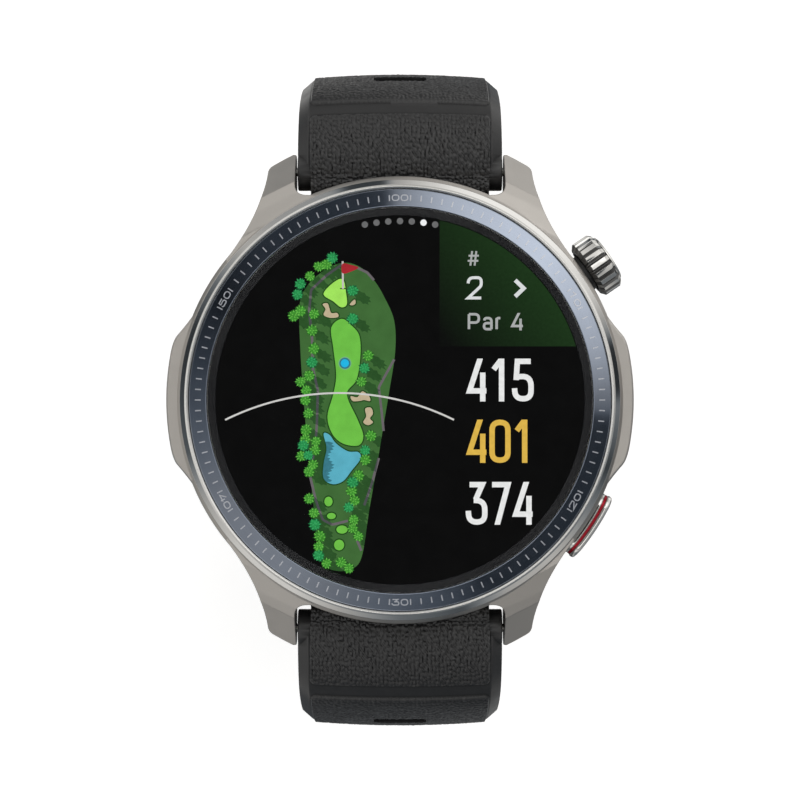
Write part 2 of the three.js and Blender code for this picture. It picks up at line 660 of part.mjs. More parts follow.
function buckleFrame() {
  const { length, width, thickness, corner, rim, barFromEnd } = BUCKLE;
  const insideWidth = STRAP_END_WIDTH + 0.9;
  const frame = roundedRectangle(width, length, corner);
  frame.holes.push(roundedRectangle(insideWidth, length - 2 * rim, 0.9));
  const ring = plate(frame, -thickness / 2, thickness / 2, 5).translate(0, length / 2 - barFromEnd, 0);
  // The near side is open, where the strap's barrel sits between the two ears.
  const opening = block(-insideWidth / 2, insideWidth / 2, -4, 2.4, -3, 3);
  const barHoles = rod("x", BUCKLE_BAR_RADIUS + 0.2, -11.6, 11.6);
  const restHalfWidth = TONGUE_WIDTH / 2 + 0.2;
  const tongueRest = block(-restHalfWidth, restHalfWidth, 6, 12, 0.35, 2);
  return placeOnStrap(cut(ring, opening, barHoles, tongueRest), buckleEnd);
}

function buckleTongue() {
  const eye = rod("x", 1.6, -TONGUE_WIDTH / 2, TONGUE_WIDTH / 2);
  const side = outline([[0, 0.2], [0, 1.6], [3.5, 1.75], [10.6, 1.5], [11.3, 0.9], [10.6, 0.5], [3, 0.5]]);
  const blade = stoodUp(plate(side, -TONGUE_WIDTH / 2, TONGUE_WIDTH / 2));
  return placeOnStrap(cut(join(eye, blade), rod("x", BUCKLE_BAR_RADIUS + 0.2, -3, 3)), buckleEnd);
}

const KEEPER = { wall: 1.1, length: 5.2, height: 6.4 };

// A loop that holds the strap and leaves room for the tail over it.
function keeper(distanceFromBar) {
  const innerWidth = STRAP_END_WIDTH + 0.7;
  const inner = roundedRectangle(innerWidth, KEEPER.height, 0.9);
  const loop = roundedRectangle(innerWidth + 2 * KEEPER.wall, KEEPER.height + 2 * KEEPER.wall, 1.8);
  loop.holes.push(inner);
  const ring = plate(loop, -KEEPER.length / 2, KEEPER.length / 2, 3).rotateX(-Math.PI / 2);
  const lift = KEEPER.height / 2 - strapThickness(60) / 2 - 0.2;
  return placeOnStrap(ring.translate(0, -distanceFromBar, lift), buckleEnd);
}

const FIXED_KEEPER = 7.6;
const FREE_KEEPER = 17.0;

function addStraps(root) {
  const bar = rod("x", BUCKLE_BAR_RADIUS, -11.4, 11.4);
  root.add(
    node("strap_buckle_half", buckleHalf(), "blackRubber"),
    node("spring_bar_top", springBar(), "steel"),
    node("release_lever_top", releaseLever(), "steel"),
    node("buckle_bar", placeOnStrap(bar, buckleEnd), "steel"),
    node("buckle_frame", buckleFrame(), "titanium"),
    node("buckle_tongue", buckleTongue(), "titanium"),
    node("keeper_fixed", keeper(FIXED_KEEPER), "blackRubber"),
    node("keeper_free", keeper(FREE_KEEPER), "blackRubber"),
  );
  const tailSide = new THREE.Group();
  tailSide.rotation.z = Math.PI;
  tailSide.add(
    node("strap_tail_half", tailHalf(), "blackRubber"),
    node("spring_bar_bottom", springBar(), "steel"),
    node("release_lever_bottom", releaseLever(), "steel"),
  );
  root.add(tailSide);
}

const watch = new THREE.Group();
addTopStack(watch);
addInsides(watch);
watch.add(node("haptic_cup", hapticCup(), "steel"), node("haptic_weight", hapticWeight(), "steel"));
addBack(watch);
addCrown(watch);
addButton(watch);
addStraps(watch);

export default watch;
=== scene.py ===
"""The looks of a golf GPS watch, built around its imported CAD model.

Shapes are worked out in millimetres in the CAD frame: the origin is the centre of the sensor
window on the back, +Z points out through the display, +Y to 12 o'clock and +X to 3 o'clock.
"""

import json
import math

import bmesh
import bpy
import numpy as np
from mathutils import Matrix, Vector


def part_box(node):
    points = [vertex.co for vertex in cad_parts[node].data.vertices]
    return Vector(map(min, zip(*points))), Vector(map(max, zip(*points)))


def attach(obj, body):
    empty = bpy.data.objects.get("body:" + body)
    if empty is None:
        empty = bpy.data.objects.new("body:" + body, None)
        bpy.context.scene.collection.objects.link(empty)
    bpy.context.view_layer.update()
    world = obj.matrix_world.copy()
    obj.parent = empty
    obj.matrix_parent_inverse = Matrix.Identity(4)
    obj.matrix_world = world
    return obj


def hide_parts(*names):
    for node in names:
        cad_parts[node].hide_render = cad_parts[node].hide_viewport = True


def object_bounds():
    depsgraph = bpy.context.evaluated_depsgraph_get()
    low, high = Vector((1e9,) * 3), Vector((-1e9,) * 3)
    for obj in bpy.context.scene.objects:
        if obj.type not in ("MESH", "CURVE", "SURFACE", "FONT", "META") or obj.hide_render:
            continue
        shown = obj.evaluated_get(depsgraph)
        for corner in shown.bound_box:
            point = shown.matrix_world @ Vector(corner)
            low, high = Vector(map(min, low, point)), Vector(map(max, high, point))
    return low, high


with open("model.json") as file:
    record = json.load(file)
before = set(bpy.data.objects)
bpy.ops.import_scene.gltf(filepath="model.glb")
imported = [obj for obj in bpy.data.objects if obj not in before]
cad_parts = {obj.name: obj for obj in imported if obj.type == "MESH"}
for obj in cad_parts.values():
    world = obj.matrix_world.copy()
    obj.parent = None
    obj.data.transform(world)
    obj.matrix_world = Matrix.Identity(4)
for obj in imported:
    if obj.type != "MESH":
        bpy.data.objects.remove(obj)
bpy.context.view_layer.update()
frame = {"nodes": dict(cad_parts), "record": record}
scene = bpy.context.scene

MM = 0.001


def top_of(node):
    """Height of a CAD node's top, in millimetres."""
    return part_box(node)[1].z / MM


def radius_of(node):
    """Half the width of a round CAD node, in millimetres."""
    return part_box(node)[1].x / MM


# Sizes in millimetres, taken from the frame where it states them.

CASE_RADIUS = 23.5  # widest line of the round flank
CASE_TOP = 9.9
BACK_EDGE = 2.0  # lowest edge of the case
BORE_RADIUS = 20.4
GUARD_REACH = 24.38  # outermost point of the side shoulders
LUG_GAP = 22.0
LUG_AZIMUTH = math.radians(26.5)  # a lug's direction, from 12 or 6 o'clock
GLASS_TOP = top_of("display_glass")
GLASS_RADIUS = radius_of("display_glass")
SCREEN_RADIUS = 19.05
BAR_Y, BAR_Z = 24.2, 4.4  # spring bar
CONTROL_Z = 6.3  # middle of the crown and of the side button
CROWN_AZIMUTH = math.radians(34.5)
CROWN_TEETH = 20
CROWN_RADIUS = 3.2
CROWN_BACK, CROWN_FRONT = 23.95, 26.35  # distances from the dial axis
BUTTON_AZIMUTH = math.radians(-33.6)
BUTTON_LENGTH, BUTTON_HEIGHT = 7.5, 2.7
STRAP_WIDTH, STRAP_END_WIDTH = 21.6, 20.0  # at the lugs and at the buckle
FINE = 256  # steps round a large turned piece


# ---------------------------------------------------------------- mesh tools


def solid(points, faces):
    """A mesh object from points in millimetres, with its faces turned outwards."""
    mesh = bpy.data.meshes.new("solid")
    mesh.from_pydata((np.asarray(points, float) * MM).tolist(), [], faces)
    work = bmesh.new()
    work.from_mesh(mesh)
    bmesh.ops.recalc_face_normals(work, faces=work.faces)
    work.to_mesh(mesh)
    work.free()
    obj = bpy.data.objects.new("solid", mesh)
    scene.collection.objects.link(obj)
    return obj


def bake(obj):
    """Replaces the object's mesh by its shape with every modifier applied."""
    graph = bpy.context.evaluated_depsgraph_get()
    baked = bpy.data.meshes.new_from_object(obj.evaluated_get(graph))
    old = obj.data
    obj.modifiers.clear()
    obj.data = baked
    bpy.data.meshes.remove(old)
    return obj


def combine(obj, operation, *tools):
    """Joins, cuts or intersects the object with other solids, which are used up."""
    for tool in tools:
        step = obj.modifiers.new("combine", "BOOLEAN")
        step.operation = operation
        step.solver = "MANIFOLD"
        step.object = tool
    bpy.context.view_layer.update()
    bake(obj)
    for tool in tools:
        bpy.data.objects.remove(tool)
    return obj


def join(obj, *tools):
    """Adds other solids to the object."""
    return combine(obj, "UNION", *tools)


def cut(obj, *tools):
    """Takes other solids away from the object."""
    return combine(obj, "DIFFERENCE", *tools)


def overlap(obj, *tools):
    """Keeps what the object shares with other solids."""
    return combine(obj, "INTERSECT", *tools)


def bevelled(obj, width, steps=2, angle=30):
    """Rounds every edge that is sharper than an angle."""
    bevel = obj.modifiers.new("bevel", "BEVEL")
    bevel.width = width * MM
    bevel.segments = steps
    bevel.limit_method = "ANGLE"
    bevel.angle_limit = math.radians(angle)
    bpy.context.view_layer.update()
    return bake(obj)


def moved(obj, matrix):
    """Moves a mesh within its object."""
    obj.data.transform(matrix)
    return obj


def shift(x, y, z):
    return Matrix.Translation(Vector((x, y, z)) * MM)


def spin(angle, axis="Z"):
    return Matrix.Rotation(angle, 4, axis)


# Turns a piece made along Z to lie along X.
TO_X = spin(math.pi / 2, "Y")


def filleted(corners, steps=5, closed=True):
    """An outline from corners (x, y, radius), each rounded by its own radius."""
    outline = []
    for i, (x, y, radius) in enumerate(corners):
        corner = np.array([x, y], float)
        at_end = not closed and i in (0, len(corners) - 1)
        if radius == 0 or at_end:
            outline.append(corner)
            continue
        before = np.array(corners[i - 1][:2], float) - corner
        after = np.array(corners[(i + 1) % len(corners)][:2], float) - corner
        long_before, long_after = np.linalg.norm(before), np.linalg.norm(after)
        before, after = before / long_before, after / long_after
        half_angle = math.acos(float(np.clip(before @ after, -1, 1))) / 2
        room_before = long_before * (0.5 if corners[i - 1][2] else 1)
        room_after = long_after * (0.5 if corners[(i + 1) % len(corners)][2] else 1)
        reach = min(radius / math.tan(half_angle), room_before, room_after)
        start, end = corner + before * reach, corner + after * reach
        for t in np.linspace(0, 1, steps + 1):
            outline.append((1 - t) ** 2 * start + 2 * t * (1 - t) * corner + t * t * end)
    outline = np.array(outline)
    gaps = np.linalg.norm(np.diff(outline, axis=0), axis=1)
    return outline[np.append(True, gaps > 1e-6)]


def circle(radius, count=64):
    angles = np.arange(count) * 2 * math.pi / count
    return np.column_stack([radius * np.cos(angles), radius * np.sin(angles)])


def rounded_box(width, height, radius, steps=6):
    x, y = width / 2, height / 2
    return filleted([(x, -y, radius), (x, y, radius), (-x, y, radius), (-x, -y, radius)], steps)


def inset(outline, distance):
    """A closed anticlockwise outline moved inwards by a distance."""
    along = np.roll(outline, -1, axis=0) - outline
    along /= np.maximum(np.linalg.norm(along, axis=1, keepdims=True), 1e-9)
    inward = np.column_stack([-along[:, 1], along[:, 0]])
    before = np.roll(inward, 1, axis=0)
    share = 1 + np.sum(inward * before, axis=1, keepdims=True)
    return outline + distance * (inward + before) / np.maximum(share, 0.2)


def skin(rings, closed=False):
    """A solid through rings of equal length, with flat ends or closed on itself."""
    rings = np.asarray(rings, float)
    levels, count = rings.shape[:2]
    faces = []
    for level in range(levels if closed else levels - 1):
        low, high = level * count, (level + 1) % levels * count
        for i in range(count):
            j = (i + 1) % count
            faces.append((low + i, low + j, high + j, high + i))
    if not closed:
        faces.append(tuple(range(count))[::-1])
        faces.append(tuple(range((levels - 1) * count, levels * count)))
    return solid(rings.reshape(-1, 3), faces)


def stacked(outline, levels, closed=False):
    """A solid along Z from (height, inset) levels of one outline."""
    rings = []
    for height, distance in levels:
        ring = inset(outline, distance) if distance else outline
        rings.append(np.column_stack([ring, np.full(len(ring), height)]))
    return skin(rings, closed)


def prism(outline, low, high):
    """A straight solid along Z."""
    return stacked(outline, [(low, 0), (high, 0)])


def soft_levels(low, high, radius, steps=3):
    """Levels of a prism whose two rims are rounded."""
    turns = [t / steps * math.pi / 2 for t in range(steps + 1)]
    bottom = [(low + radius * (1 - math.sin(a)), radius * (1 - math.cos(a))) for a in reversed(turns)]
    top = [(high - radius * (1 - math.sin(a)), radius * (1 - math.cos(a))) for a in turns]
    return bottom + top


def turned(section, count=FINE):
    """A solid of revolution about Z from (radius, height) points; radius 0 is on the axis."""
    angles = np.arange(count) * 2 * math.pi / count
    points, rings, faces = [], [], []
    for radius, height in section:
        start = len(points)
        if radius < 1e-6:
            points.append((0, 0, height))
            rings.append([start])
        else:
            points += [(radius * math.cos(a), radius * math.sin(a), height) for a in angles]
            rings.append(list(range(start, start + count)))
    for low, high in zip(rings, rings[1:] + rings[:1]):
        if len(low) == 1 and len(high) == 1:
            continue
        for i in range(count):
            j = (i + 1) % count
            corners = [low[i % len(low)], low[j % len(low)], high[j % len(high)], high[i % len(high)]]
            faces.append(tuple(dict.fromkeys(corners)))
    return solid(points, faces)


def rod(radius, low, high, edge=0.0, count=64):
    """A round bar along Z whose rims are rounded by edge."""
    if not edge:
        return turned([(0, low), (radius, low), (radius, high), (0, high)], count)
    rims = [(radius - distance, height) for height, distance in soft_levels(low, high, edge)]
    return turned([(0, low)] + rims + [(0, high)], count)


def block(x0, x1, y0, y1, z0, z1):
    """A box between limits, used as a tool."""
    outline = np.array([(x0, y0), (x1, y0), (x1, y1), (x0, y1)], float)
    return prism(outline, z0, z1)


def smooth_loop(points, steps=6):
    """A closed smooth curve through points."""
    points = np.array(points, float)
    curve = []
    for i in range(len(points)):
        a, b, c, d = (points[(i + k) % len(points)] for k in (-1, 0, 1, 2))
        for t in np.arange(steps) / steps:
            bend = 2 * a - 5 * b + 4 * c - d
            twist = 3 * b - a - 3 * c + d
            curve.append(0.5 * (2 * b + (c - a) * t + bend * t**2 + twist * t**3))
    return anticlockwise(np.array(curve))


def anticlockwise(outline):
    """The same outline in the direction that inset and prism expect."""
    x, y = outline[:, 0], outline[:, 1]
    area = np.sum(x * np.roll(y, -1) - np.roll(x, -1) * y)
    return outline if area > 0 else outline[::-1]


def ribbon(path, width):
    """The outline of a line of constant width along an open path."""
    path = np.asarray(path, float)
    along = np.diff(path, axis=0)
    along /= np.linalg.norm(along, axis=1, keepdims=True)
    left = np.column_stack([-along[:, 1], along[:, 0]])
    before, after = np.vstack([left[:1], left]), np.vstack([left, left[-1:]])
    share = 1 + np.sum(before * after, axis=1, keepdims=True)
    aside = (before + after) / share * width / 2
    return anticlockwise(np.vstack([path + aside, (path - aside)[::-1]]))


def slabs(outlines, low, high):
    """One object holding a thin plate for each outline."""
    points, faces = [], []
    for outline in outlines:
        start, count = len(points), len(outline)
        points += [(x, y, low) for x, y in outline] + [(x, y, high) for x, y in outline]
        faces.append(tuple(start + i for i in range(count))[::-1])
        faces.append(tuple(start + count + i for i in range(count)))
        for i in range(count):
            j = (i + 1) % count
            faces.append((start + i, start + j, start + count + j, start + count + i))
    return solid(points, faces)


# ---------------------------------------------------------------- materials


def linear(red, green, blue):
    """A colour given as 0 to 255 display values."""
    channels = (red / 255, green / 255, blue / 255)
    return [c / 12.92 if c <= 0.04045 else ((c + 0.055) / 1.055) ** 2.4 for c in channels] + [1.0]


class Graph:
    """A short way to add and connect shader nodes."""

    def __init__(self, owner):
        owner.use_nodes = True
        self.nodes = owner.node_tree.nodes
        self.links = owner.node_tree.links
        self.nodes.clear()

    def plug(self, socket, value):
        if isinstance(value, bpy.types.NodeSocket):
            self.links.new(value, socket)
        else:
            socket.default_value = value

    def add(self, kind, settings=None, **sockets):
        """A node with its inputs given by name; a space in a name is written as _."""
        node = self.nodes.new("ShaderNode" + kind)
        for key, value in (settings or {}).items():
            setattr(node, key, value)
        for key, value in sockets.items():
            self.plug(node.inputs[key.replace("_", " ")], value)
        return node

    def wired(self, kind, *inputs, **settings):
        """The output of a new node whose first inputs are given in order."""
        node = self.add(kind, settings)
        for socket, value in zip(node.inputs, inputs):
            self.plug(socket, value)
        return node.outputs[0]

    def read(self, kind, output):
        """An output of a node that needs no inputs."""
        return self.nodes.new("ShaderNode" + kind).outputs[output]

    def math(self, operation, a, b=0.0):
        return self.wired("Math", a, b, operation=operation)

    def spread(self, value, low, high, out_low, out_high):
        """A value carried from one range to another."""
        return self.wired("MapRange", value, low, high, out_low, out_high)

    def vary(self, noise, low, high):
        """A noise, which lies mostly between 0.3 and 0.7, carried to a range."""
        return self.spread(noise, 0.3, 0.7, low, high)

    def mix(self, share, a, b):
        """A colour between a, at share 0, and b, at share 1."""
        node = self.add("Mix", {"data_type": "RGBA"})
        for index, value in ((0, share), (6, a), (7, b)):
            self.plug(node.inputs[index], value)
        return node.outputs[2]

    def place(self):
        return self.read("TexCoord", "Object")

    def polar(self):
        """Coordinates round the dial axis, so that a noise is drawn out into rings."""
        x, y, z = self.add("SeparateXYZ", Vector=self.place()).outputs
        square = self.math("ADD", self.math("MULTIPLY", x, x), self.math("MULTIPLY", y, y))
        angle = self.math("MULTIPLY", self.math("ARCTAN2", y, x), 0.0004)
        return self.add("CombineXYZ", X=self.math("SQRT", square), Y=angle, Z=z).outputs[0]

    def noise(self, size, vector=None, detail=4.0):
        """Noise with features of a size in millimetres."""
        scale = 1 / (size * MM)
        return self.add("TexNoise", Vector=vector or self.place(), Scale=scale, Detail=detail).outputs[0]

    def output(self, shader, kind="OutputMaterial"):
        self.links.new(shader, self.nodes.new("ShaderNode" + kind).inputs[0])


def finish(name, color, roughness, metallic=0.0, grain=0.08, relief=0.004, mottle=0.08, edge=0.0,
           rings=False, coat=0.0, hollow=1.0):
    """A surface whose colour, roughness and fine relief vary with the size of its grain.

    grain and relief are in millimetres, edge rounds edges by a radius, and hollow is the share of colour and
    shine left in cracks and hollows, which are darkened as painted shade."""
    material = bpy.data.materials.new(name)
    graph = Graph(material)
    fine = graph.noise(grain, graph.polar() if rings else graph.place())
    broad = graph.noise(grain * 30, graph.place(), 2.0)
    dark, light = ([min(1, c * (1 + swing)) for c in linear(*color)[:3]] + [1] for swing in (-mottle, mottle))
    tone = graph.math("ADD", graph.math("MULTIPLY", fine, 0.6), graph.math("MULTIPLY", broad, 0.4))
    shade = graph.mix(graph.vary(tone, 0, 1), dark, light)
    shine = 0.5
    # Painted shade: where pointiness finds a crack or hollow, colour and shine are darkened down to the share
    # hollow.
    if hollow < 1:
        painted_crack_shade = graph.spread(graph.read("NewGeometry", "Pointiness"), 0.44, 0.51, hollow, 1)
        shade = graph.mix(painted_crack_shade, (0, 0, 0, 1), shade)
        shine = graph.math("MULTIPLY", painted_crack_shade, shine)
    bump = graph.add("Bump", Strength=1.0, Distance=relief * MM, Height=fine)
    if edge:
        rounded = graph.add("Bevel", {"samples": 4}, Radius=edge * MM)
        graph.plug(bump.inputs["Normal"], rounded.outputs[0])
    rough = graph.vary(broad, roughness * 0.88, min(1, roughness * 1.12))
    body = graph.add("BsdfPrincipled", Base_Color=shade, Roughness=rough, Metallic=metallic,
                     Normal=bump.outputs[0], Coat_Weight=coat, Coat_Roughness=0.08)
    graph.plug(body.inputs["Specular IOR Level"], shine)
    graph.output(body.outputs[0])
    return material


def metal(name, color, roughness, **look):
    return finish(name, color, roughness, metallic=1.0, **look)


def glow(name, color, low=0.92, high=1.06, size=0.5):
    """A lit patch of the display, with the slight unevenness of a picture."""
    material = bpy.data.materials.new(name)
    graph = Graph(material)
    level = graph.vary(graph.noise(size), low, high)
    graph.output(graph.wired("Emission", linear(*color), level))
    return material


def clear_crystal(name):
    """A thin clear plate that only adds reflections, on its outer faces."""
    material = bpy.data.materials.new(name)
    graph = Graph(material)
    outside = graph.math("SUBTRACT", 1.0, graph.read("NewGeometry", "Backfacing"))
    facing = graph.math("MULTIPLY", graph.wired("Fresnel", 1.45), outside)
    clear = graph.wired("BsdfTransparent", (0.97, 0.975, 0.98, 1))
    mirror = graph.wired("BsdfGlossy", (1, 1, 1, 1), graph.vary(graph.noise(6.0), 0.0, 0.02))
    graph.output(graph.wired("MixShader", facing, clear, mirror))
    return material


titanium = metal("titanium", (177, 173, 168), 0.34, grain=0.05, relief=0.0012, mottle=0.05, edge=0.16)
polished = metal("polished_steel", (222, 221, 218), 0.12, grain=0.3, relief=0.0004, mottle=0.02, edge=0.05)
knurl_metal = metal("knurl_metal", (216, 215, 212), 0.13, grain=0.06, relief=0.0004, mottle=0.04)
# Darker metal for the floor and one wall of each crown groove: painted shade.
groove_shade_metal = metal("groove_shade_metal", (84, 84, 84), 0.3, grain=0.06, relief=0.0008, mottle=0.06)
skirt_metal = metal("skirt_metal", (112, 112, 112), 0.3, grain=0.06, relief=0.0008, mottle=0.06)
steel = metal("steel", (186, 186, 184), 0.28, grain=0.06, relief=0.001, mottle=0.06, edge=0.05)
gold = metal("gold", (222, 178, 92), 0.2, grain=0.05, relief=0.0008, mottle=0.05, edge=0.05)
red_metal = finish("red_metal", (150, 14, 34), 0.28, 0.7, grain=0.05, relief=0.0008)
ring_blue = metal("ring_blue", (146, 154, 168), 0.09, grain=0.05, relief=0.0003, mottle=0.05, rings=True)
ring_print = finish("ring_print", (186, 189, 197), 0.2, 0.4, grain=0.04, relief=0.0008, mottle=0.05)
crystal = clear_crystal("crystal")
mask_black = finish("mask_black", (28, 28, 30), 0.14, grain=0.3, relief=0.0005, mottle=0.06)
dark_screen = finish("dark_screen", (14, 14, 15), 0.3, grain=0.2, relief=0.0005, mottle=0.1)
# The crackle's cracks get painted shade through hollow.
silicone = finish("silicone", (39, 39, 40), 0.34, grain=0.035, mottle=0.12, hollow=0.25)
polymer = finish("black_polymer", (30, 31, 32), 0.48, grain=0.09, relief=0.006, mottle=0.1, edge=0.12)
sensor_glass = finish("sensor_glass", (9, 9, 11), 0.07, grain=0.5, relief=0.0003, mottle=0.2, coat=1.0)
receiver_glass = finish("receiver", (48, 40, 66), 0.12, 0.3, grain=0.3, relief=0.0005, mottle=0.25, coat=0.6)
lamp_lens = finish("lamp_lens", (150, 168, 150), 0.15, grain=0.4, relief=0.001, mottle=0.3, coat=0.8)
board = finish("board", (18, 62, 44), 0.5, grain=0.4, relief=0.01, mottle=0.35)
foil = finish("cell_foil", (150, 153, 158), 0.35, 0.6, grain=0.6, relief=0.01, edge=0.2)
amber = finish("amber_film", (160, 92, 30), 0.35, grain=0.5, relief=0.002, mottle=0.15)

SLOT_FINISH = {
    "titanium": titanium, "polished": polished, "blue_ring": ring_blue, "crystal": crystal,
    "sensor_glass": sensor_glass, "screen": dark_screen, "black_rubber": silicone,
    "black_polymer": polymer, "red_ring": red_metal, "steel": steel, "gold_contact": gold,
    "board_green": board, "cell_wrap": foil, "amber_flex": amber,
}


def dress(obj, name, body, slot, material, *nodes, smooth=35, flat=True):
    """Names a finished shape, gives it its surface and lets it ride on its body.

    Edges below the smooth angle are shaded round; flat keeps large faces flat beside them."""
    obj.data.shade_smooth()
    obj.data.set_sharp_from_angle(angle=math.radians(smooth))
    if flat:
        levelling = obj.modifiers.new("flat faces", "WEIGHTED_NORMAL")
        levelling.weight = 100
        levelling.keep_sharp = True
        bpy.context.view_layer.update()
        bake(obj)
    obj.name = obj.data.name = name
    obj.data.materials.clear()
    obj.data.materials.append(material)
    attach(obj, body)
    if nodes:
        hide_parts(*nodes)
    return obj


def dress_cad_nodes():
    """Gives every CAD node that stays in sight or inside the case its procedural surface."""
    slots = {part["node"]: part["material_slot"] for part in frame["record"]["subparts"]}
    for name, obj in frame["nodes"].items():
        obj.data.materials.clear()
        obj.data.materials.append(SLOT_FINISH[slots[name]])


# ---------------------------------------------------------------- case


def quadratic(start, control, end, steps=8):
    """The points of a curve after its start."""
    start, control, end = (np.array(p, float) for p in (start, control, end))
    ts = np.arange(1, steps + 1) / steps
    return [tuple((1 - t) ** 2 * start + 2 * t * (1 - t) * control + t * t * end) for t in ts]


def guard_outline():
    """The right-hand side shoulder, between the round flank and its outer face."""
    shoulder = 23.98
    crest = 2 * GUARD_REACH - shoulder
    lower = [(19, -10.2), (20.6, -10.2)]
    lower += quadratic((20.6, -10.2), (22.05, -8.1), (23.15, -6.85))
    lower += quadratic((23.15, -6.85), (23.7, -6.3), (shoulder, -4.6))
    middle = quadratic((shoulder, -4.6), (crest, 0), (shoulder, 4.6), 16)
    upper = [(x, -y) for x, y in reversed(lower[:-1])]
    return np.array(lower + middle + upper)


def guard(side):
    """A side shoulder with soft upper and lower edges, on the right for side 1 and the left for -1."""
    levels = [(3.7, 0.5), (3.85, 0.36), (4.6, 0.04), (4.8, 0), (8.9, 0), (9.15, 0.02), (9.45, 0.14),
              (9.5, 0.22)]
    piece = stacked(guard_outline(), levels)
    return moved(piece, spin(math.pi)) if side < 0 else piece


def lug_plan():
    """A lug seen from above, with the hollow curve that joins its inner face to the case."""
    inner = LUG_GAP / 2
    plan = [(8.6, 13.8), (17.9, 13.9), (18.1, 14.6)]
    plan += quadratic((18.1, 14.6), (14.3, 19.4), (14.0, 24.0), 14)
    plan += quadratic((14.0, 24.0), (14.0, 24.6), (13.5, 24.9), 4)
    plan += [(inner + 0.4, 26.1), (inner, 26.0), (inner, 22.5)]
    plan += quadratic((inner, 22.5), (inner - 0.05, 21.3), (inner - 1.5, 21.35), 8)
    plan += [(8.6, 21.2)]
    return np.array(plan)


def lug(x_side, y_side):
    """A lug: its plan and its side profile, each drawn out to a prism, and what the two share."""
    profile = np.array([(16.5, 6.0), (20.2, 5.2), (23.8, BACK_EDGE), (25.4, BACK_EDGE), (27.9, 2.7),
                        (28.4, 4.1), (25.35, 8.6), (24.2, 9.15), (22.6, 9.7), (16.5, 9.8)])
    side = moved(prism(profile, -10.5, 10.5), spin(math.pi / 2 - LUG_AZIMUTH) @ spin(math.pi / 2, "X"))
    piece = overlap(prism(lug_plan(), 0, GLASS_TOP), side)
    bevelled(piece, 0.14, 2, 28)
    moved(piece, Matrix.Diagonal((x_side, y_side, 1, 1)))
    if x_side * y_side < 0:
        piece.data.flip_normals()
    return piece


def on_flank(azimuth):
    """Carries a piece made along +X to the height of the controls and turns it round the dial."""
    return spin(azimuth) @ shift(0, 0, CONTROL_Z)


# Where pieces made along Z, from the dial axis out, belong
CROWN_PLACE = on_flank(CROWN_AZIMUTH) @ TO_X
BUTTON_PLACE = on_flank(BUTTON_AZIMUTH) @ TO_X


def pill(length, height, steps=12):
    """A stadium outline: y runs along the length and x across it."""
    radius = height / 2
    straight = length / 2 - radius
    top = [(radius * math.cos(a), straight + radius * math.sin(a)) for a in np.linspace(0, math.pi, steps)]
    return np.array(top + [(-x, -y) for x, y in top])


def case_shell():
    """The case with its shoulders and lugs, bored for the dial, strap bars, crown, button and speaker."""
    inside = BORE_RADIUS - 1
    flank = [(inside, BACK_EDGE, 0), (21.3, BACK_EDGE, 0.3), (22.4, 3.2, 0.6), (23.25, 4.7, 1.0),
             (CASE_RADIUS, 6.0, 1.0), (CASE_RADIUS, 7.4, 0.8), (23.3, 9.4, 0.3), (22.85, CASE_TOP, 0.15),
             (inside, CASE_TOP, 0)]
    shell = turned(filleted(flank, 4), 320)
    join(shell, guard(1), guard(-1))
    join(shell, *[lug(x, y) for x in (1, -1) for y in (1, -1)])
    barrel_room, bar_tip_hole, sound_hole, crown_bore, button_bore = 3.2, 0.6, 0.45, 2.15, 1.65
    half_gap = LUG_GAP / 2
    hole_end = half_gap + 1.3
    from_inside, past_flank = 18, 26
    tools = [rod(BORE_RADIUS, 0, 12, count=320)]
    for y_side in (1, -1):
        along_bar = shift(0, y_side * BAR_Y, BAR_Z) @ TO_X
        tools.append(moved(rod(barrel_room, -half_gap, half_gap, count=96), along_bar))
        tools.append(moved(rod(bar_tip_hole, -hole_end, hole_end, count=32), along_bar))
    for step in (-3, -1, 1, 3):
        place = on_flank(math.pi + 0.06 * step) @ TO_X
        tools.append(moved(rod(sound_hole, from_inside, past_flank, count=32), place))
    seat = rod(CROWN_RADIUS + 0.3, CROWN_BACK - 0.52, past_flank, count=96)
    pocket = prism(pill(BUTTON_LENGTH + 0.3, BUTTON_HEIGHT + 0.3), 22.3, past_flank)
    for bore, recess, place in ((crown_bore, seat, CROWN_PLACE), (button_bore, pocket, BUTTON_PLACE)):
        tools.append(moved(rod(bore, from_inside, past_flank), place))
        tools.append(moved(recess, place))
    cut(shell, *tools)
    dress(shell, "case_shell", "case", "titanium", titanium, "mid_case", smooth=30)


def bezel():
    """The polished ring, with a step inside for the scale ring and a rounded outer slope."""
    corners = [(19.4, 9.95, 0), (22.8, 9.95, 0.1), (22.8, 10.9, 0.15), (22.25, 11.65, 0.12),
               (22.05, 11.8, 0.08), (21.87, 11.65, 0.06), (21.87, 10.9, 0), (19.93, 10.9, 0),
               (19.93, 10.4, 0), (19.4, 10.4, 0)]
    ring = turned(filleted(corners, 4), 320)
    dress(ring, "bezel", "case", "polished", polished, "bezel_ring", smooth=40)


RING_INNER, RING_OUTER = 19.96, 21.8
RING_INNER_TOP, RING_OUTER_TOP = 11.75, 11.35


def ring_height(radius):
    """Height of the scale ring's sloping face at a radius."""
    share = (radius - RING_INNER) / (RING_OUTER - RING_INNER)
    return RING_INNER_TOP + share * (RING_OUTER_TOP - RING_INNER_TOP)


def scale_insert():
    """The blue ring, whose face slopes down towards the bezel."""
    corners = [(RING_INNER, 10.95, 0), (RING_OUTER, 10.95, 0), (RING_OUTER, RING_OUTER_TOP, 0.05),
               (RING_INNER, RING_INNER_TOP, 0.08)]
    ring = turned(filleted(corners, 3), 320)
    dress(ring, "scale_insert", "case", "blue_ring", ring_blue, "scale_ring", smooth=40)


def clockwise(outline, degrees):
    """Turns an outline made at 12 o'clock round the dial."""
    turn = math.radians(-degrees)
    c, s = math.cos(turn), math.sin(turn)
    return np.asarray(outline) @ np.array([[c, s], [-s, c]])


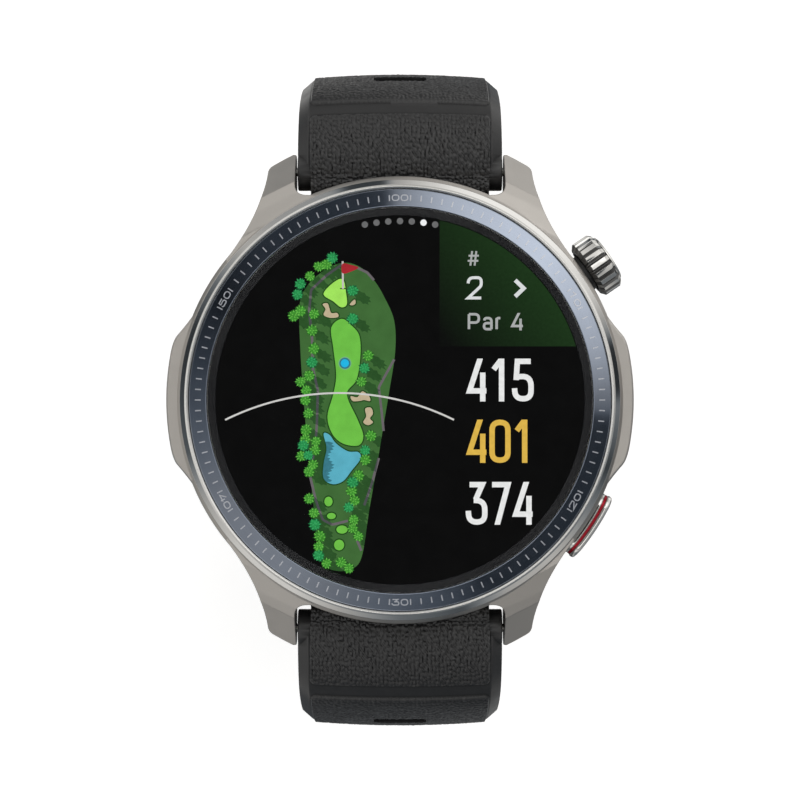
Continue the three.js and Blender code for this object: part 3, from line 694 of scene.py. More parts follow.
# Strokes of each sign in a cell of 1 by 1, as (x, y, corner radius as a share of the width). Slanted
# ends run past the cell, to be cut off level.
GLYPHS = {
    "0": [[(0.5, 1, 0), (0, 1, 0.5), (0, 0, 0.5), (0.5, 0, 0)],
          [(0.45, 1, 0), (1, 1, 0.5), (1, 0, 0.5), (0.45, 0, 0)]],
    "1": [[(0.1, 0.78, 0), (0.6, 1.06, 0), (0.6, -0.1, 0)]],
    "2": [[(0, 0.72, 0), (0, 1, 0.5), (1, 1, 0.5), (1, 0.6, 0.4), (0, 0, 0), (1, 0, 0)]],
    "3": [[(0.04, 1, 0), (0.84, 1, 0), (0.42, 0.6, 0)],
          [(0.3, 0.58, 0), (1, 0.58, 0.6), (1, 0, 0.6), (0, 0, 0.6), (-0.04, 0.3, 0)]],
    "4": [[(0.74, 1.12, 0), (0.04, 0.21, 0), (1.1, 0.21, 0)], [(0.87, 0.7, 0), (0.87, -0.1, 0)]],
    "5": [[(0.98, 1, 0), (0.14, 1, 0), (0.06, 0.5, 0)],
          [(0.02, 0.58, 0), (1, 0.62, 0.6), (1, 0, 0.6), (0, 0, 0.6), (-0.04, 0.28, 0)]],
    "7": [[(0, 1, 0), (1, 1, 0), (0.3, -0.12, 0)]],
    "#": [[(0.24, 0, 0), (0.4, 1, 0)], [(0.62, 0, 0), (0.78, 1, 0)], [(0, 0.33, 0), (0.95, 0.33, 0)],
          [(0.08, 0.68, 0), (1, 0.68, 0)]],
    ">": [[(0, 1, 0), (1, 0.5, 0), (0, 0, 0)]],
    "P": [[(0, 0, 0), (0, 1, 0)], [(0, 1, 0), (1, 1, 0.5), (1, 0.44, 0.5), (0, 0.44, 0)]],
    "a": [[(0.05, 0.58, 0), (0.05, 0.74, 0.4), (1, 0.74, 0.5), (1, 0, 0)],
          [(1, 0.4, 0), (0, 0.4, 0.4), (0, 0, 0.4), (1, 0, 0)]],
    "r": [[(0, 0, 0), (0, 0.74, 0)], [(0, 0.5, 0), (0.1, 0.74, 0.5), (1, 0.74, 0)]],
    " ": [],
}
NARROW = {"a": 0.8, "r": 0.5, " ": 0.3, "#": 0.9}  # widths as a share of the text's usual width


def text_outlines(text, x, y, width, height, gap, line):
    """Stroke outlines of a text, grouped so that no two strokes of a group touch."""
    layers = {}
    for sign in text:
        cell = width * NARROW.get(sign, 1)
        inner, tall = cell - line, height - line
        for layer, stroke in enumerate(GLYPHS[sign]):
            corners = [(x + line / 2 + u * inner, y + line / 2 + v * tall, r * inner) for u, v, r in stroke]
            layers.setdefault(layer, []).append(ribbon(filleted(corners, 6, closed=False), line))
        x += cell + gap
    return layers


def raised_strokes(layers, low, high):
    """One solid from groups of stroke outlines."""
    pieces = [slabs(outlines, low, high) for _, outlines in sorted(layers.items())]
    return join(pieces[0], *pieces[1:]) if len(pieces) > 1 else pieces[0]


LABELS = ("00", "10", "20", "30", "40", "50")  # clockwise from 12 o'clock


def scale_marks():
    """Ticks every 3 degrees, and every 60 degrees two digits between a pair of ticks."""
    middle, long, wide = 20.86, 0.62, 0.13
    digit = {"width": 0.8, "height": 0.7, "gap": 0.12, "line": 0.12}
    low, high = middle - long / 2, middle + long / 2
    tick = np.array([(wide / 2, low), (wide / 2, high), (-wide / 2, high), (-wide / 2, low)])
    layers = {0: [clockwise(tick, degrees) for degrees in range(0, 360, 3) if degrees % 60]}
    start = -(2 * digit["width"] + digit["gap"]) / 2
    base = np.array([0, middle - digit["height"] / 2])
    for i, label in enumerate(LABELS):
        degrees = 60 * i
        upright = degrees < 90 or degrees > 270
        for layer, outlines in text_outlines(label, start, 0, **digit).items():
            for outline in outlines:
                if not upright:
                    outline = np.array([0, digit["height"]]) - outline
                layers.setdefault(layer, []).append(anticlockwise(clockwise(outline + base, degrees)))
    rise, sunk = 0.05, 0.02
    marks = raised_strokes(layers, 0, rise)
    for vertex in marks.data.vertices:
        radius = math.hypot(vertex.co.x, vertex.co.y) / MM
        vertex.co.z += (ring_height(radius) - sunk) * MM
    dress(marks, "scale_marks", "case", "blue_ring", ring_print)


def crystal_plate():
    """The flat crystal, with a fine chamfer round its upper edge."""
    low, chamfer = 11.2, 0.1
    corners = [(0, low, 0), (GLASS_RADIUS, low, 0.05), (GLASS_RADIUS, GLASS_TOP - chamfer, 0.03),
               (GLASS_RADIUS - chamfer, GLASS_TOP, 0.03), (0, GLASS_TOP, 0)]
    dress(turned(filleted(corners, 3)), "crystal_plate", "case", "crystal", crystal, "display_glass")


def display_border():
    """The black print under the crystal's edge, round the lit picture."""
    low, high = 11.02, 11.16
    section = [(SCREEN_RADIUS, low), (GLASS_RADIUS, low), (GLASS_RADIUS, high), (SCREEN_RADIUS + 0.05, high)]
    dress(turned(section), "display_border", "case", "screen", mask_black)


# ---------------------------------------------------------------- screen picture


SHEET = 0.012
# Heights of the picture's sheets, which lie close above each other under the crystal
BACKDROP, CORNER, ROUGH, PATHS, SHADOWS, BORDERS, AREAS = 10.71, 10.74, 10.76, 10.79, 10.81, 10.83, 10.85
TREES = {"leaf": 10.87, "teal": 10.89}
TREE_LAYER = 0.015
POND_SHADE = PLAYER = 10.87
MARK = 0.02
FLAG_FOOT, TEXT, ARC = 10.91, 10.95, 10.97


def picture(name, outlines, level, color, **unevenness):
    """Thin lit plates of one colour in the display's picture."""
    light = glow(name + "_light", color, **unevenness)
    dress(slabs(outlines, level, level + SHEET), name, "case", "screen", light)


def disc(x, y, radius):
    return circle(radius, 32) + np.array([x, y])


# The hole's plan as smooth outlines, in millimetres from the middle of the dial
COURSE = {
    "rough": [(-6.0, 14.2), (-8.0, 13.3), (-9.6, 11.8), (-10.4, 9.8), (-10.3, 5.0), (-10.0, 0.5),
              (-9.6, -4.5), (-9.1, -9.5), (-8.6, -14.0), (-7.8, -17.0), (-6.4, -17.7), (-4.8, -17.4),
              (-3.9, -16.0), (-3.2, -11.5), (-2.5, -7.5), (-1.8, -3.2), (-1.1, 1.0), (-0.5, 5.0),
              (-0.6, 8.2), (-1.6, 10.6), (-2.7, 12.4), (-4.2, 13.8)],
    "fairway": [(-6.0, 8.4), (-7.1, 7.5), (-6.9, 5.4), (-6.6, 2.6), (-6.9, 0.6), (-7.5, -1.7), (-7.0, -3.5),
                (-5.9, -4.5), (-4.3, -4.7), (-3.8, -3.7), (-4.4, -2.0), (-5.5, 0.6), (-4.5, 2.1), (-4.1, 4.6),
                (-4.2, 6.6), (-4.9, 7.6)],
    "green": [(-6.3, 12.5), (-7.3, 11.8), (-7.9, 10.9), (-6.9, 10.2), (-6.1, 9.6), (-5.5, 9.9), (-5.6, 11.2),
              (-5.8, 12.3)],
    "pond": [(-7.9, -3.5), (-7.3, -3.6), (-6.6, -4.5), (-5.4, -5.3), (-4.3, -5.4), (-4.1, -6.1), (-5.0, -7.3),
             (-5.9, -8.4), (-7.0, -8.7), (-7.9, -8.1), (-7.9, -6.6), (-7.6, -5.0)],
}
BUNKERS = [
    [(-8.0, 9.9), (-7.5, 10.0), (-7.3, 9.5), (-7.1, 9.0), (-6.5, 9.0), (-6.4, 8.6), (-7.2, 8.5), (-7.9, 8.8),
     (-7.7, 9.4)],
    [(-5.2, 9.9), (-4.7, 10.4), (-4.6, 10.0), (-4.9, 9.8)],
    [(-5.1, 0.4), (-4.4, 0.3), (-3.9, 0.9), (-3.2, 0.4), (-3.1, -0.1), (-3.7, 0.0), (-4.2, -0.1),
     (-4.9, -0.1)],
    [(-3.6, -0.9), (-3.0, -0.8), (-2.8, -1.4), (-3.1, -1.9), (-2.8, -2.3), (-3.3, -2.6), (-3.8, -2.3),
     (-3.5, -1.7)],
]
# Ovals as (x, y, half width, half height)
TEES = [(-7.4, -10.5, 0.42, 0.5), (-7.1, -12.0, 0.45, 0.32), (-6.0, -13.4, 0.58, 0.42),
        (-6.3, -15.0, 0.52, 0.55)]
PATH_LINES = [
    [(-5.9, 14.1), (-7.6, 12.9), (-9.2, 11.4), (-9.4, 9.2), (-9.1, 6.4), (-9.0, 3.2), (-8.5, 1.0),
     (-8.6, -2.4), (-8.7, -3.9), (-9.3, -7.9), (-8.7, -10.4), (-8.0, -12.4), (-7.0, -12.9), (-5.4, -12.5)],
    [(-4.5, 13.7), (-3.4, 13.2), (-2.7, 12.4)],
    [(-0.6, 4.2), (-1.6, 2.4), (-2.2, 1.3), (-1.9, -1.2), (-1.7, -3.2)],
    [(-2.2, -6.0), (-2.9, -8.6), (-3.7, -10.9)],
    [(-4.5, -14.4), (-4.0, -15.6)],
]
LEAF_TREES = [
    (-7.6, 14.0), (-8.4, 13.8), (-9.3, 12.8), (-10.3, 9.2), (-11.0, 8.7), (-8.9, 8.9), (-9.1, 7.2),
    (-8.9, 5.3), (-9.4, 2.5), (-10.3, 1.9), (-9.7, 1.0), (-9.8, 0.0), (-9.5, -1.4), (-9.7, -3.1),
    (-9.8, -4.1), (-8.7, -4.3), (-8.8, -5.2), (-10.2, -5.8), (-9.0, -6.7), (-9.4, -7.4), (-9.4, -10.2),
    (-8.9, -11.7), (-8.3, -14.1), (-8.4, -15.2), (-7.6, -16.9), (-6.1, -16.8), (-5.3, -17.4), (-3.3, 4.6),
    (-4.0, 1.9), (-3.0, -3.7), (-3.6, -6.2), (-4.3, -7.8), (-5.0, -9.4), (-4.7, -10.4), (-4.8, -12.4),
    (-4.9, -13.3), (-4.3, -14.1),
]
TEAL_TREES = [
    (-7.0, 14.7), (-10.3, 12.0), (-10.6, 10.9), (-4.9, 11.3), (-4.9, 8.4), (-9.1, 3.9), (-3.7, 3.3),
    (-10.0, -4.7), (-9.5, -5.7), (-3.6, -5.2), (-4.9, -8.5), (-5.3, -11.1), (-8.8, -12.9), (-8.4, -16.1),
]


def spiky(radius, spikes, draw):
    """A leafy outline about the origin, whose points reach out unevenly."""
    tips, notches = draw.uniform(0.84, 1.06, spikes), draw.uniform(0.6, 0.78, spikes)
    reach = radius * np.column_stack([tips, notches]).ravel()
    angles = draw.uniform(0, 1) + np.arange(2 * spikes) * math.pi / spikes
    return np.column_stack([reach * np.cos(angles), reach * np.sin(angles)])


def leaf_dabs(radius, draw):
    """Small pointed leaves in two rings about the origin."""
    dabs = []
    for count, share, size in ((9, 0.66, 0.13), (4, 0.26, 0.12)):
        first, jitter = draw.uniform(0, 1), draw.uniform(-0.2, 0.2, count)
        for turn in first + (np.arange(count) + jitter) * 2 * math.pi / count:
            kite = np.array([(-size, 0), (0, -size / 2), (1.2 * size, 0), (0, size / 2)])
            kite[:, 0] += radius * share * draw.uniform(0.85, 1.15)
            dabs.append(clockwise(kite, -math.degrees(turn)))
    return dabs


def merged_plates(outlines, low, high):
    """Thin plates whose overlaps are joined into one skin."""
    plates = [slabs([outline], low, high) for outline in outlines]
    return join(plates[0], *plates[1:])


def shade_film(name, color):
    """A film that darkens the picture below it; light crosses two faces of it."""
    material = bpy.data.materials.new(name)
    graph = Graph(material)
    once = [math.sqrt(c) for c in color] + [1]
    tint = graph.mix(graph.vary(graph.noise(0.4), 0, 0.12), once, (1, 1, 1, 1))
    graph.output(graph.wired("BsdfTransparent", tint))
    return material


SHADOW_FALL = 35  # degrees clockwise from +X
SHADOW_REACH = 1.2


def add_trees(rough):
    """Bushy trees in two greens, with lighter leaves, and long shadows that stay on the rough."""
    draw = np.random.default_rng(7)
    tones = {
        "leaf": (LEAF_TREES, (38, 100, 34), (66, 146, 50), (112, 196, 80)),
        "teal": (TEAL_TREES, (26, 96, 56), (42, 144, 78), (66, 176, 104)),
    }
    shadows = []
    for kind, (spots, rim, leaf, tip) in tones.items():
        rims, crowns, dabs = [], [], []
        for spot in spots:
            radius = draw.uniform(0.62, 0.74)
            rims.append(spot + spiky(radius, 13, draw))
            crowns.append(spot + spiky(radius * 0.86, 11, draw))
            dabs += [spot + dab for dab in leaf_dabs(radius, draw)]
            streak = spiky(1, 9, draw) * [SHADOW_REACH, 0.6] + [SHADOW_REACH, 0]
            shadows.append(spot + clockwise(streak, SHADOW_FALL))
        level = TREES[kind]
        for layer, outlines, tone, swing in (("rims", rims, rim, 0.2), ("crowns", crowns, leaf, 0.25)):
            name = f"map_{kind}_{layer}"
            plates = merged_plates(outlines, level, level + SHEET)
            dress(plates, name, "case", "screen", glow(name + "_light", tone, 1 - swing, 1 + swing, 0.2))
            level += TREE_LAYER
        picture(f"map_{kind}_tips", dabs, level, tip, low=0.85, high=1.1, size=0.2)
    shade = merged_plates(shadows, SHADOWS, SHADOWS + SHEET)
    overlap(shade, slabs([rough], 10.7, 10.9))
    dress(shade, "map_tree_shadows", "case", "screen", shade_film("map_shadow", (0.47, 0.57, 0.55)))


def pond_shade(pond):
    """The darker strip of water under the left bank, with a ragged edge."""
    edge = [(-7.3 + 0.3 * (i % 2) + 0.25 * math.sin(0.5 * i), -4.3 - 0.16 * i) for i in range(27)]
    strip = np.array([(-8.5, -8.5), *edge[::-1], (-8.5, -4.3)])
    shade = overlap(slabs([strip], POND_SHADE, POND_SHADE + SHEET), slabs([pond], 10.8, 10.9))
    light = glow("pond_shade_light", (62, 126, 140), 0.85, 1.1, 0.25)
    dress(shade, "map_pond_shade", "case", "screen", light)


def add_course():
    """The hole's plan: rough, trees, paths, and the areas of play with dark borders."""
    shapes = {name: smooth_loop(points) for name, points in COURSE.items()}
    bunkers = [smooth_loop(points, 5) for points in BUNKERS]
    eighths = np.arange(8) * math.pi / 4
    tees = [smooth_loop([(x + a * math.cos(t), y + b * math.sin(t)) for t in eighths]) for x, y, a, b in TEES]
    picture("map_rough", [shapes["rough"]], ROUGH, (68, 110, 58), low=0.9, high=1.08, size=1.6)
    add_trees(shapes["rough"])
    paths = [filleted([(x, y, 0.5) for x, y in path], 4, closed=False) for path in PATH_LINES]
    picture("map_paths", [ribbon(path, 0.26) for path in paths], PATHS, (110, 104, 107), size=0.4)
    outlined = [shapes["fairway"], shapes["green"], shapes["pond"], *bunkers, *tees]
    picture("map_borders", [inset(outline, -0.13) for outline in outlined], BORDERS, (36, 74, 32), size=0.4)
    picture("map_fairway", [shapes["fairway"], *tees], AREAS, (115, 197, 75), size=1.2)
    picture("map_green", [shapes["green"]], AREAS, (168, 236, 98), size=0.8)
    picture("map_pond", [shapes["pond"]], AREAS, (95, 180, 200), size=1.0)
    pond_shade(shapes["pond"])
    picture("map_bunkers", bunkers, AREAS, (200, 182, 150), size=0.3)


def add_flag():
    """A red flag on a pale pole, at the hole."""
    pole = ribbon([(-5.9, 11.5), (-5.93, 14.35)], 0.2)
    foot = ribbon([(-6.2, 11.52), (-5.6, 11.52)], 0.12)
    cloth = smooth_loop([(-5.95, 14.1), (-5.0, 13.95), (-4.3, 13.7), (-5.0, 13.3), (-5.95, 13.1)], 5)
    picture("map_pole", [pole], FLAG_FOOT + MARK, (205, 200, 196))
    picture("map_pole_foot", [foot], FLAG_FOOT, (40, 70, 36))
    picture("map_flag", [cloth], FLAG_FOOT + 2 * MARK, (172, 44, 52), size=0.4)


def add_player():
    """The player's spot: a blue dot with two rings round it."""
    rings = (("halo", 0.68, (126, 186, 132)), ("ring", 0.58, (58, 124, 140)), ("dot", 0.42, (38, 186, 232)))
    for i, (name, radius, color) in enumerate(rings):
        picture(f"player_{name}", [disc(-5.7, 3.8, radius)], PLAYER + i * MARK, color)


def add_screen_text():
    """The hole's number and par, an arrow, and three distances."""
    white, soft_white, grey, yellow = (240, 240, 238), (226, 228, 228), (176, 178, 176), (228, 186, 80)
    # Each row: name, text, left, bottom, sign width and height, gap, line width, colour
    rows = [
        ("hole_sign", "#", 6.9, 13.8, 1.5, 1.7, 0.2, 0.2, grey),
        ("hole_number", "2", 6.9, 10.4, 1.65, 2.4, 0.2, 0.3, soft_white),
        ("next_arrow", ">", 11.7, 10.5, 1.3, 2.1, 0.2, 0.42, soft_white),
        ("par_line", "Par 4", 7.0, 7.2, 1.28, 1.8, 0.28, 0.26, grey),
        ("distance_back", "415", 6.85, -0.15, 2.2, 4.43, 0.19, 0.56, white),
        ("distance_middle", "401", 6.85, -6.5, 2.2, 4.47, 0.19, 0.56, yellow),
        ("distance_front", "374", 6.85, -12.9, 2.2, 4.43, 0.19, 0.56, white),
    ]
    for name, text, x, y, width, height, gap, line, color in rows:
        strokes = raised_strokes(text_outlines(text, x, y, width, height, gap, line), TEXT, TEXT + SHEET)
        overlap(strokes, block(0, SCREEN_RADIUS, y, y + height, 10.9, 11))
        dress(strokes, name, "case", "screen", glow(name + "_light", color))


def add_page_dots():
    """Seven dots on an arc below 12 o'clock, with the sixth lit."""
    reach, pitch, radius, lit = 18.5, 1.22, 0.33, 5
    angles = [(i - 3) * pitch / reach for i in range(7)]
    spots = [disc(reach * math.sin(a), reach * math.cos(a), radius) for a in angles]
    bright = [spots.pop(lit)]
    picture("page_dots", spots, TEXT, (112, 112, 112))
    picture("page_dot_lit", bright, TEXT, (250, 250, 250))


def add_distance_arc():
    """The curve that marks one shot's reach across the hole."""
    radius, x, y, reach = 26.6, -6.25, -25.88, math.radians(26.4)
    angles = np.linspace(-reach, reach, 80)
    path = [(x + radius * math.sin(a), y + radius * math.cos(a)) for a in angles]
    picture("distance_arc", [ribbon(path, 0.19)], ARC, (214, 212, 208))


def corner_material():
    """Black that turns to dark green towards the upper right."""
    material = bpy.data.materials.new("corner_tint")
    graph = Graph(material)
    x, y, _ = graph.add("SeparateXYZ", Vector=graph.place()).outputs
    slope = graph.math("ADD", graph.math("MULTIPLY", x, 0.8), graph.math("MULTIPLY", y, 0.6))
    share = graph.spread(slope, 7.5 * MM, 19.5 * MM, 0, 1)
    tint = graph.mix(share, linear(16, 18, 16), linear(33, 58, 30))
    graph.output(graph.wired("Emission", tint, graph.vary(graph.noise(0.3), 0.9, 1.1)))
    return material


def add_corner():
    """The tinted panel behind the hole's number, with a round outer edge."""
    left, bottom = 4.1, 5.55
    reach = SCREEN_RADIUS - 0.02
    start, end = math.asin(bottom / reach), math.acos(left / reach)
    rim = [(reach * math.cos(a), reach * math.sin(a)) for a in np.linspace(start, end, 48)]
    panel = slabs([np.array([(left, bottom)] + rim)], CORNER, CORNER + SHEET)
    dress(panel, "corner_panel", "case", "screen", corner_material())


def add_screen():
    """The whole picture, drawn as lit plates over a dark backdrop."""
    backdrop = circle(SCREEN_RADIUS + 0.1, 192)
    picture("screen_backdrop", [backdrop], BACKDROP, (15, 15, 15), low=0.9, high=1.1, size=2.0)
    add_corner()
    add_course()
    add_flag()
    add_player()
    add_screen_text()
    add_page_dots()
    add_distance_arc()


# ---------------------------------------------------------------- crown and button


def tooth_outline():
    """Flat-faced teeth between V-shaped grooves, as one closed outline."""
    floor = CROWN_RADIUS - 0.32
    # Shares of the tooth pitch, distances from the crown's axis, corner radii
    corners = [(-0.26, CROWN_RADIUS, 0.05), (0.26, CROWN_RADIUS, 0.05), (0.43, floor, 0.02),
               (0.57, floor, 0.02)]
    points = []
    for tooth in range(CROWN_TEETH):
        for offset, reach, radius in corners:
            angle = (tooth + offset) * 2 * math.pi / CROWN_TEETH
            points.append((reach * math.cos(angle), reach * math.sin(angle), radius))
    return filleted(points, 3)


def knurled(levels):
    """A toothed solid along Z from (height, step inwards) levels."""
    outline = tooth_outline()
    rings = []
    for height, distance in levels:
        ring = outline * (1 - distance / CROWN_RADIUS)
        rings.append(np.column_stack([ring, np.full(len(ring), height)]))
    return skin(rings)


def groove_shade_marks(grip):
    """For each face, 1 on the floor and one wall of a groove, which take the darker metal as painted shade,
    and 0 elsewhere.
    """
    marks = []
    for face in grip.data.polygons:
        x, y, _ = face.center / MM
        pitches = math.atan2(y, x) * CROWN_TEETH / (2 * math.pi)
        marks.append(int(math.hypot(x, y) > CROWN_RADIUS - 0.7 and 0.4 < pitches % 1 < 0.76))
    return marks


def crown_knob():
    """The bright toothed grip, and the darker skirt that tapers towards the case."""
    shoulder = CROWN_BACK + 0.3
    hollow, deep = 2.3, 23
    levels = [(shoulder, 0), (25.92, 0), (25.98, 0.03), (26.22, 0.26), (26.3, 0.34), (CROWN_FRONT, 0.5)]
    grip = knurled(levels)
    cut(grip, rod(1.08, deep, 25.3), rod(hollow, deep, CROWN_BACK + 0.6))
    marks = groove_shade_marks(grip)
    moved(grip, CROWN_PLACE)
    dress(grip, "crown_grip", "crown", "titanium", knurl_metal, "crown_knob", smooth=32)
    # Painted shade: the groove floors and one wall of each groove get the darker metal.
    grip.data.materials.append(groove_shade_metal)
    grip.data.polygons.foreach_set("material_index", marks)
    skirt = knurled([(CROWN_BACK - 0.1, 0.42), (CROWN_BACK, 0.32), (shoulder - 0.06, 0.02), (shoulder, 0)])
    cut(skirt, rod(hollow, deep, 25))
    moved(skirt, CROWN_PLACE)
    dress(skirt, "crown_skirt", "crown", "titanium", skirt_metal, smooth=32)


def crown_cap():
    """A polished end ring with a dark inlay let into its middle."""
    front = CROWN_FRONT + 0.05
    seat = front + 0.15
    rim = [(0, front, 0), (2.55, front, 0.02), (2.5, front + 0.16, 0.06), (2.3, front + 0.24, 0.06),
           (1.55, front + 0.25, 0.03), (1.5, seat, 0.02), (0, seat, 0)]
    disc_rim = [(0, seat + 0.01, 0), (1.46, seat + 0.01, 0.01), (1.44, front + 0.21, 0.03),
                (0, front + 0.23, 0)]
    ring = moved(turned(filleted(rim, 3), 128), CROWN_PLACE)
    inlay = moved(turned(filleted(disc_rim, 3), 96), CROWN_PLACE)
    dress(ring, "crown_end_ring", "crown", "polished", polished, "crown_cap")
    dress(inlay, "crown_inlay", "crown", "polished", mask_black)


def wrapped(obj):
    """Bends a piece made along +X, so that planes across X become cylinders round the dial axis."""
    bend_radius = 24.0 * MM
    for vertex in obj.data.vertices:
        radius, arc = vertex.co.x, vertex.co.y
        angle = arc / bend_radius
        vertex.co.x = radius * math.cos(angle)
        vertex.co.y = radius * math.sin(angle)
    return obj


def long_pill(length, height):
    """A stadium outline with extra points along its straight sides, so that it can be bent."""
    ends = pill(length, height, 14)
    straight = length / 2 - height / 2
    stops = np.linspace(straight, -straight, 13)[1:-1]
    left = np.array([(-height / 2, y) for y in stops])
    right = np.array([(height / 2, y) for y in stops[::-1]])
    half = len(ends) // 2
    return np.vstack([ends[:half], left, ends[half:], right])


def side_button():
    """The long button, bent like the flank, with a red ring in the groove round it."""
    outline = long_pill(BUTTON_LENGTH, BUTTON_HEIGHT)
    place = on_flank(BUTTON_AZIMUTH)
    floor, groove_low, groove_high = 0.32, 23.78, 24.08
    levels = [(22.95, 0.25), (23.02, 0.06), (23.1, 0), (23.7, 0), (groove_low, 0.07), (groove_low, floor),
              (groove_high, floor), (groove_high, 0.1), (24.15, 0.02), (24.22, 0), (24.42, 0), (24.58, 0.07),
              (24.66, 0.18), (24.7, 0.36)]
    cap = moved(stacked(outline, levels), TO_X)
    cut(cap, moved(rod(0.86, 22, 23.5), TO_X))
    moved(wrapped(cap), place)
    dress(cap, "button_bar", "button", "polished", polished, "button_cap", smooth=40)
    low, high, face, back = groove_low + 0.02, groove_high - 0.02, 0.06, floor - 0.04
    ring = stacked(outline, [(low, face), (high, face), (high, back), (low, back)], closed=True)
    moved(wrapped(moved(ring, TO_X)), place)
    dress(ring, "button_red_ring", "button", "red_ring", red_metal, "button_ring", smooth=40)


# ---------------------------------------------------------------- back


SCREW_CIRCLE = 18.4
SCREW_PLACES = [spin(math.pi / 4 + k * math.pi / 2) @ shift(SCREW_CIRCLE, 0, 0) for k in range(4)]
PIN_PLACES = [shift(side * 2.6, -13.2, 0) for side in (-1, 1)]


def back_shell():
    """The back cover, bored for its screws and for the charging pins."""
    window = 8.85
    inner, outer, edge = 19.0, 19.7, 21.1
    floor, foot, rim = 1.9, 1.95, 3.0
    corners = [(window, 0.75, 0.1), (16.8, 0.9, 2.0), (20.4, 1.35, 0.6), (edge, foot, 0), (outer, foot, 0),
               (outer, rim, 0), (inner, rim, 0), (inner, floor, 0), (window, floor, 0)]
    shell = turned(filleted(corners, 5), 256)
    posts, holes = [], []
    for place in SCREW_PLACES:
        posts.append(moved(rod(1.75, 1.5, 4, count=48), place))
        holes.append(moved(rod(0.85, 0, 5, count=48), place))
        holes.append(moved(rod(1.35, 0, 1.45, count=48), place))
    holes += [moved(rod(1.1, 0, 3, count=48), place) for place in PIN_PLACES]
    join(shell, *posts)
    cut(shell, *holes)
    dress(shell, "back_shell", "case", "black_polymer", polymer, "back_cover")


def sensor_dome():
    """The glass over the sensors, with four receivers round a light source let into its outside."""
    corners = [(0, 0, 0), (6.4, 0, 2.0), (8.2, 0.35, 0.5), (8.7, 0.75, 0.15), (8.7, 1.6, 0), (0, 1.6, 0)]
    dome = turned(filleted(corners, 6), 192)
    places = [spin(k * math.pi / 2) @ shift(4.6, 0, 0) for k in range(4)]
    seats = [moved(prism(rounded_box(1.5, 2.1, 0.3), -1, 0.06), place) for place in places]
    cut(dome, *seats, prism(rounded_box(3.2, 3.2, 0.5), -1, 0.06))
    dress(dome, "sensor_dome", "case", "sensor_glass", sensor_glass, "sensor_window")
    levels = soft_levels(0.02, 0.3, 0.03)
    receivers = [moved(stacked(rounded_box(1.4, 2.0, 0.28), levels), place) for place in places]
    join(receivers[0], *receivers[1:])
    dress(receivers[0], "light_receivers", "case", "sensor_glass", receiver_glass)
    dress(stacked(rounded_box(3.1, 3.1, 0.45), levels), "light_source", "case", "sensor_glass", lamp_lens)


def back_screws():
    """Four screws with hexagon sockets."""
    for k, place in enumerate(SCREW_PLACES, 1):
        under, top, end = 1.4, 1.05, 5.9
        head = [(0, top, 0), (1.2, top, 0.12), (1.2, under, 0.02), (0.65, under, 0), (0.65, end, 0.1),
                (0, end, 0)]
        screw = turned(filleted(head, 3), 64)
        cut(screw, rod(0.55, 0, 1.3, count=6))
        dress(moved(screw, place), f"back_screw_{k}", "case", "steel", steel, f"case_screw_{k}")


def charge_pins():
    """Two round gilt contacts."""
    for k, place in enumerate(PIN_PLACES, 1):
        pin = moved(rod(0.95, 0.6, 2.6, 0.15, 48), place)
        dress(pin, f"charging_pin_{k}", "case", "gold_contact", gold, f"charge_pin_{k}")


# ---------------------------------------------------------------- strap


# Each half bends in runs of constant curve, as (turn in degrees, length).
ROOT_RUNS = [(15, 1.8), (55, 6.4), (30, 8.6)]
BUCKLE_RUNS = [*ROOT_RUNS, (60, 32), (0, 25)]
TAIL_RUNS = [*ROOT_RUNS, (5, 10), (72, 87)]
START_TILT = -15  # degrees
STEP = 0.12  # between cross-sections


def centre_line(runs):
    """Distance, y, z and heading at close steps along the middle of the strap."""
    stops = np.concatenate([[0], np.cumsum([length for _, length in runs])])
    turns = np.radians(START_TILT + np.concatenate([[0], np.cumsum([turn for turn, _ in runs])]))
    count = int(stops[-1] / STEP)
    s = np.linspace(0, stops[-1], count + 1)
    heading = np.interp(s, stops, turns)
    middle = (heading[1:] + heading[:-1]) / 2
    y = BAR_Y + np.concatenate([[0], np.cumsum(np.diff(s) * np.cos(middle))])
    z = BAR_Z - np.concatenate([[0], np.cumsum(np.diff(s) * np.sin(middle))])
    return s, y, z, heading


def on_strap(line, distance):
    """The place of a spot on a strap's middle line, with Y along the strap and Z out of it."""
    s, y, z, heading = line
    y, z, heading = (float(np.interp(distance, s, values)) for values in (y, z, heading))
    return shift(0, y, z) @ spin(-heading, "X")


buckle_line = centre_line(BUCKLE_RUNS)
tail_line = centre_line(TAIL_RUNS)
BUCKLE_LENGTH, TAIL_LENGTH = buckle_line[0][-1], tail_line[0][-1]
BUCKLE_END = on_strap(buckle_line, BUCKLE_LENGTH)
TIP_LENGTH = 8
HOLES = [51 + 6.2 * i for i in range(9)]
BAND = (5.3, 6.65)  # the smooth band between the first two crackled panels
VENT = 12.3
BAR = shift(0, BAR_Y, BAR_Z)
TURN_BOTTOM = spin(math.pi)


def smoothstep(x, low, high):
    t = np.clip((x - low) / (high - low), 0, 1)
    return t * t * (3 - 2 * t)


def thickness(s):
    return 4.7 - 1.5 * smoothstep(s, 1, 13) - 0.6 * smoothstep(s, 13, 40)


def strap_width(s):
    return STRAP_WIDTH - (STRAP_WIDTH - STRAP_END_WIDTH) * smoothstep(s, 0, 52)


def tail_width(s):
    from_tip = np.clip((s - (TAIL_LENGTH - TIP_LENGTH)) / TIP_LENGTH, 0, 1)
    return strap_width(s) * np.sqrt(1 - 0.8 * from_tip**2)


CELL = 0.42  # width of a pebble of the crackle
ROOT_REACH = 9.4  # half the width of the strap's root
PANEL_RISE = 0.22
PEBBLE_RISE = 0.13
EDGE_WIDTH = 1.1  # of the sloping edges of the outside
EDGE_DROP = 1.35
CROWNING = 0.4  # fall of the outside from its middle to its sloping edges


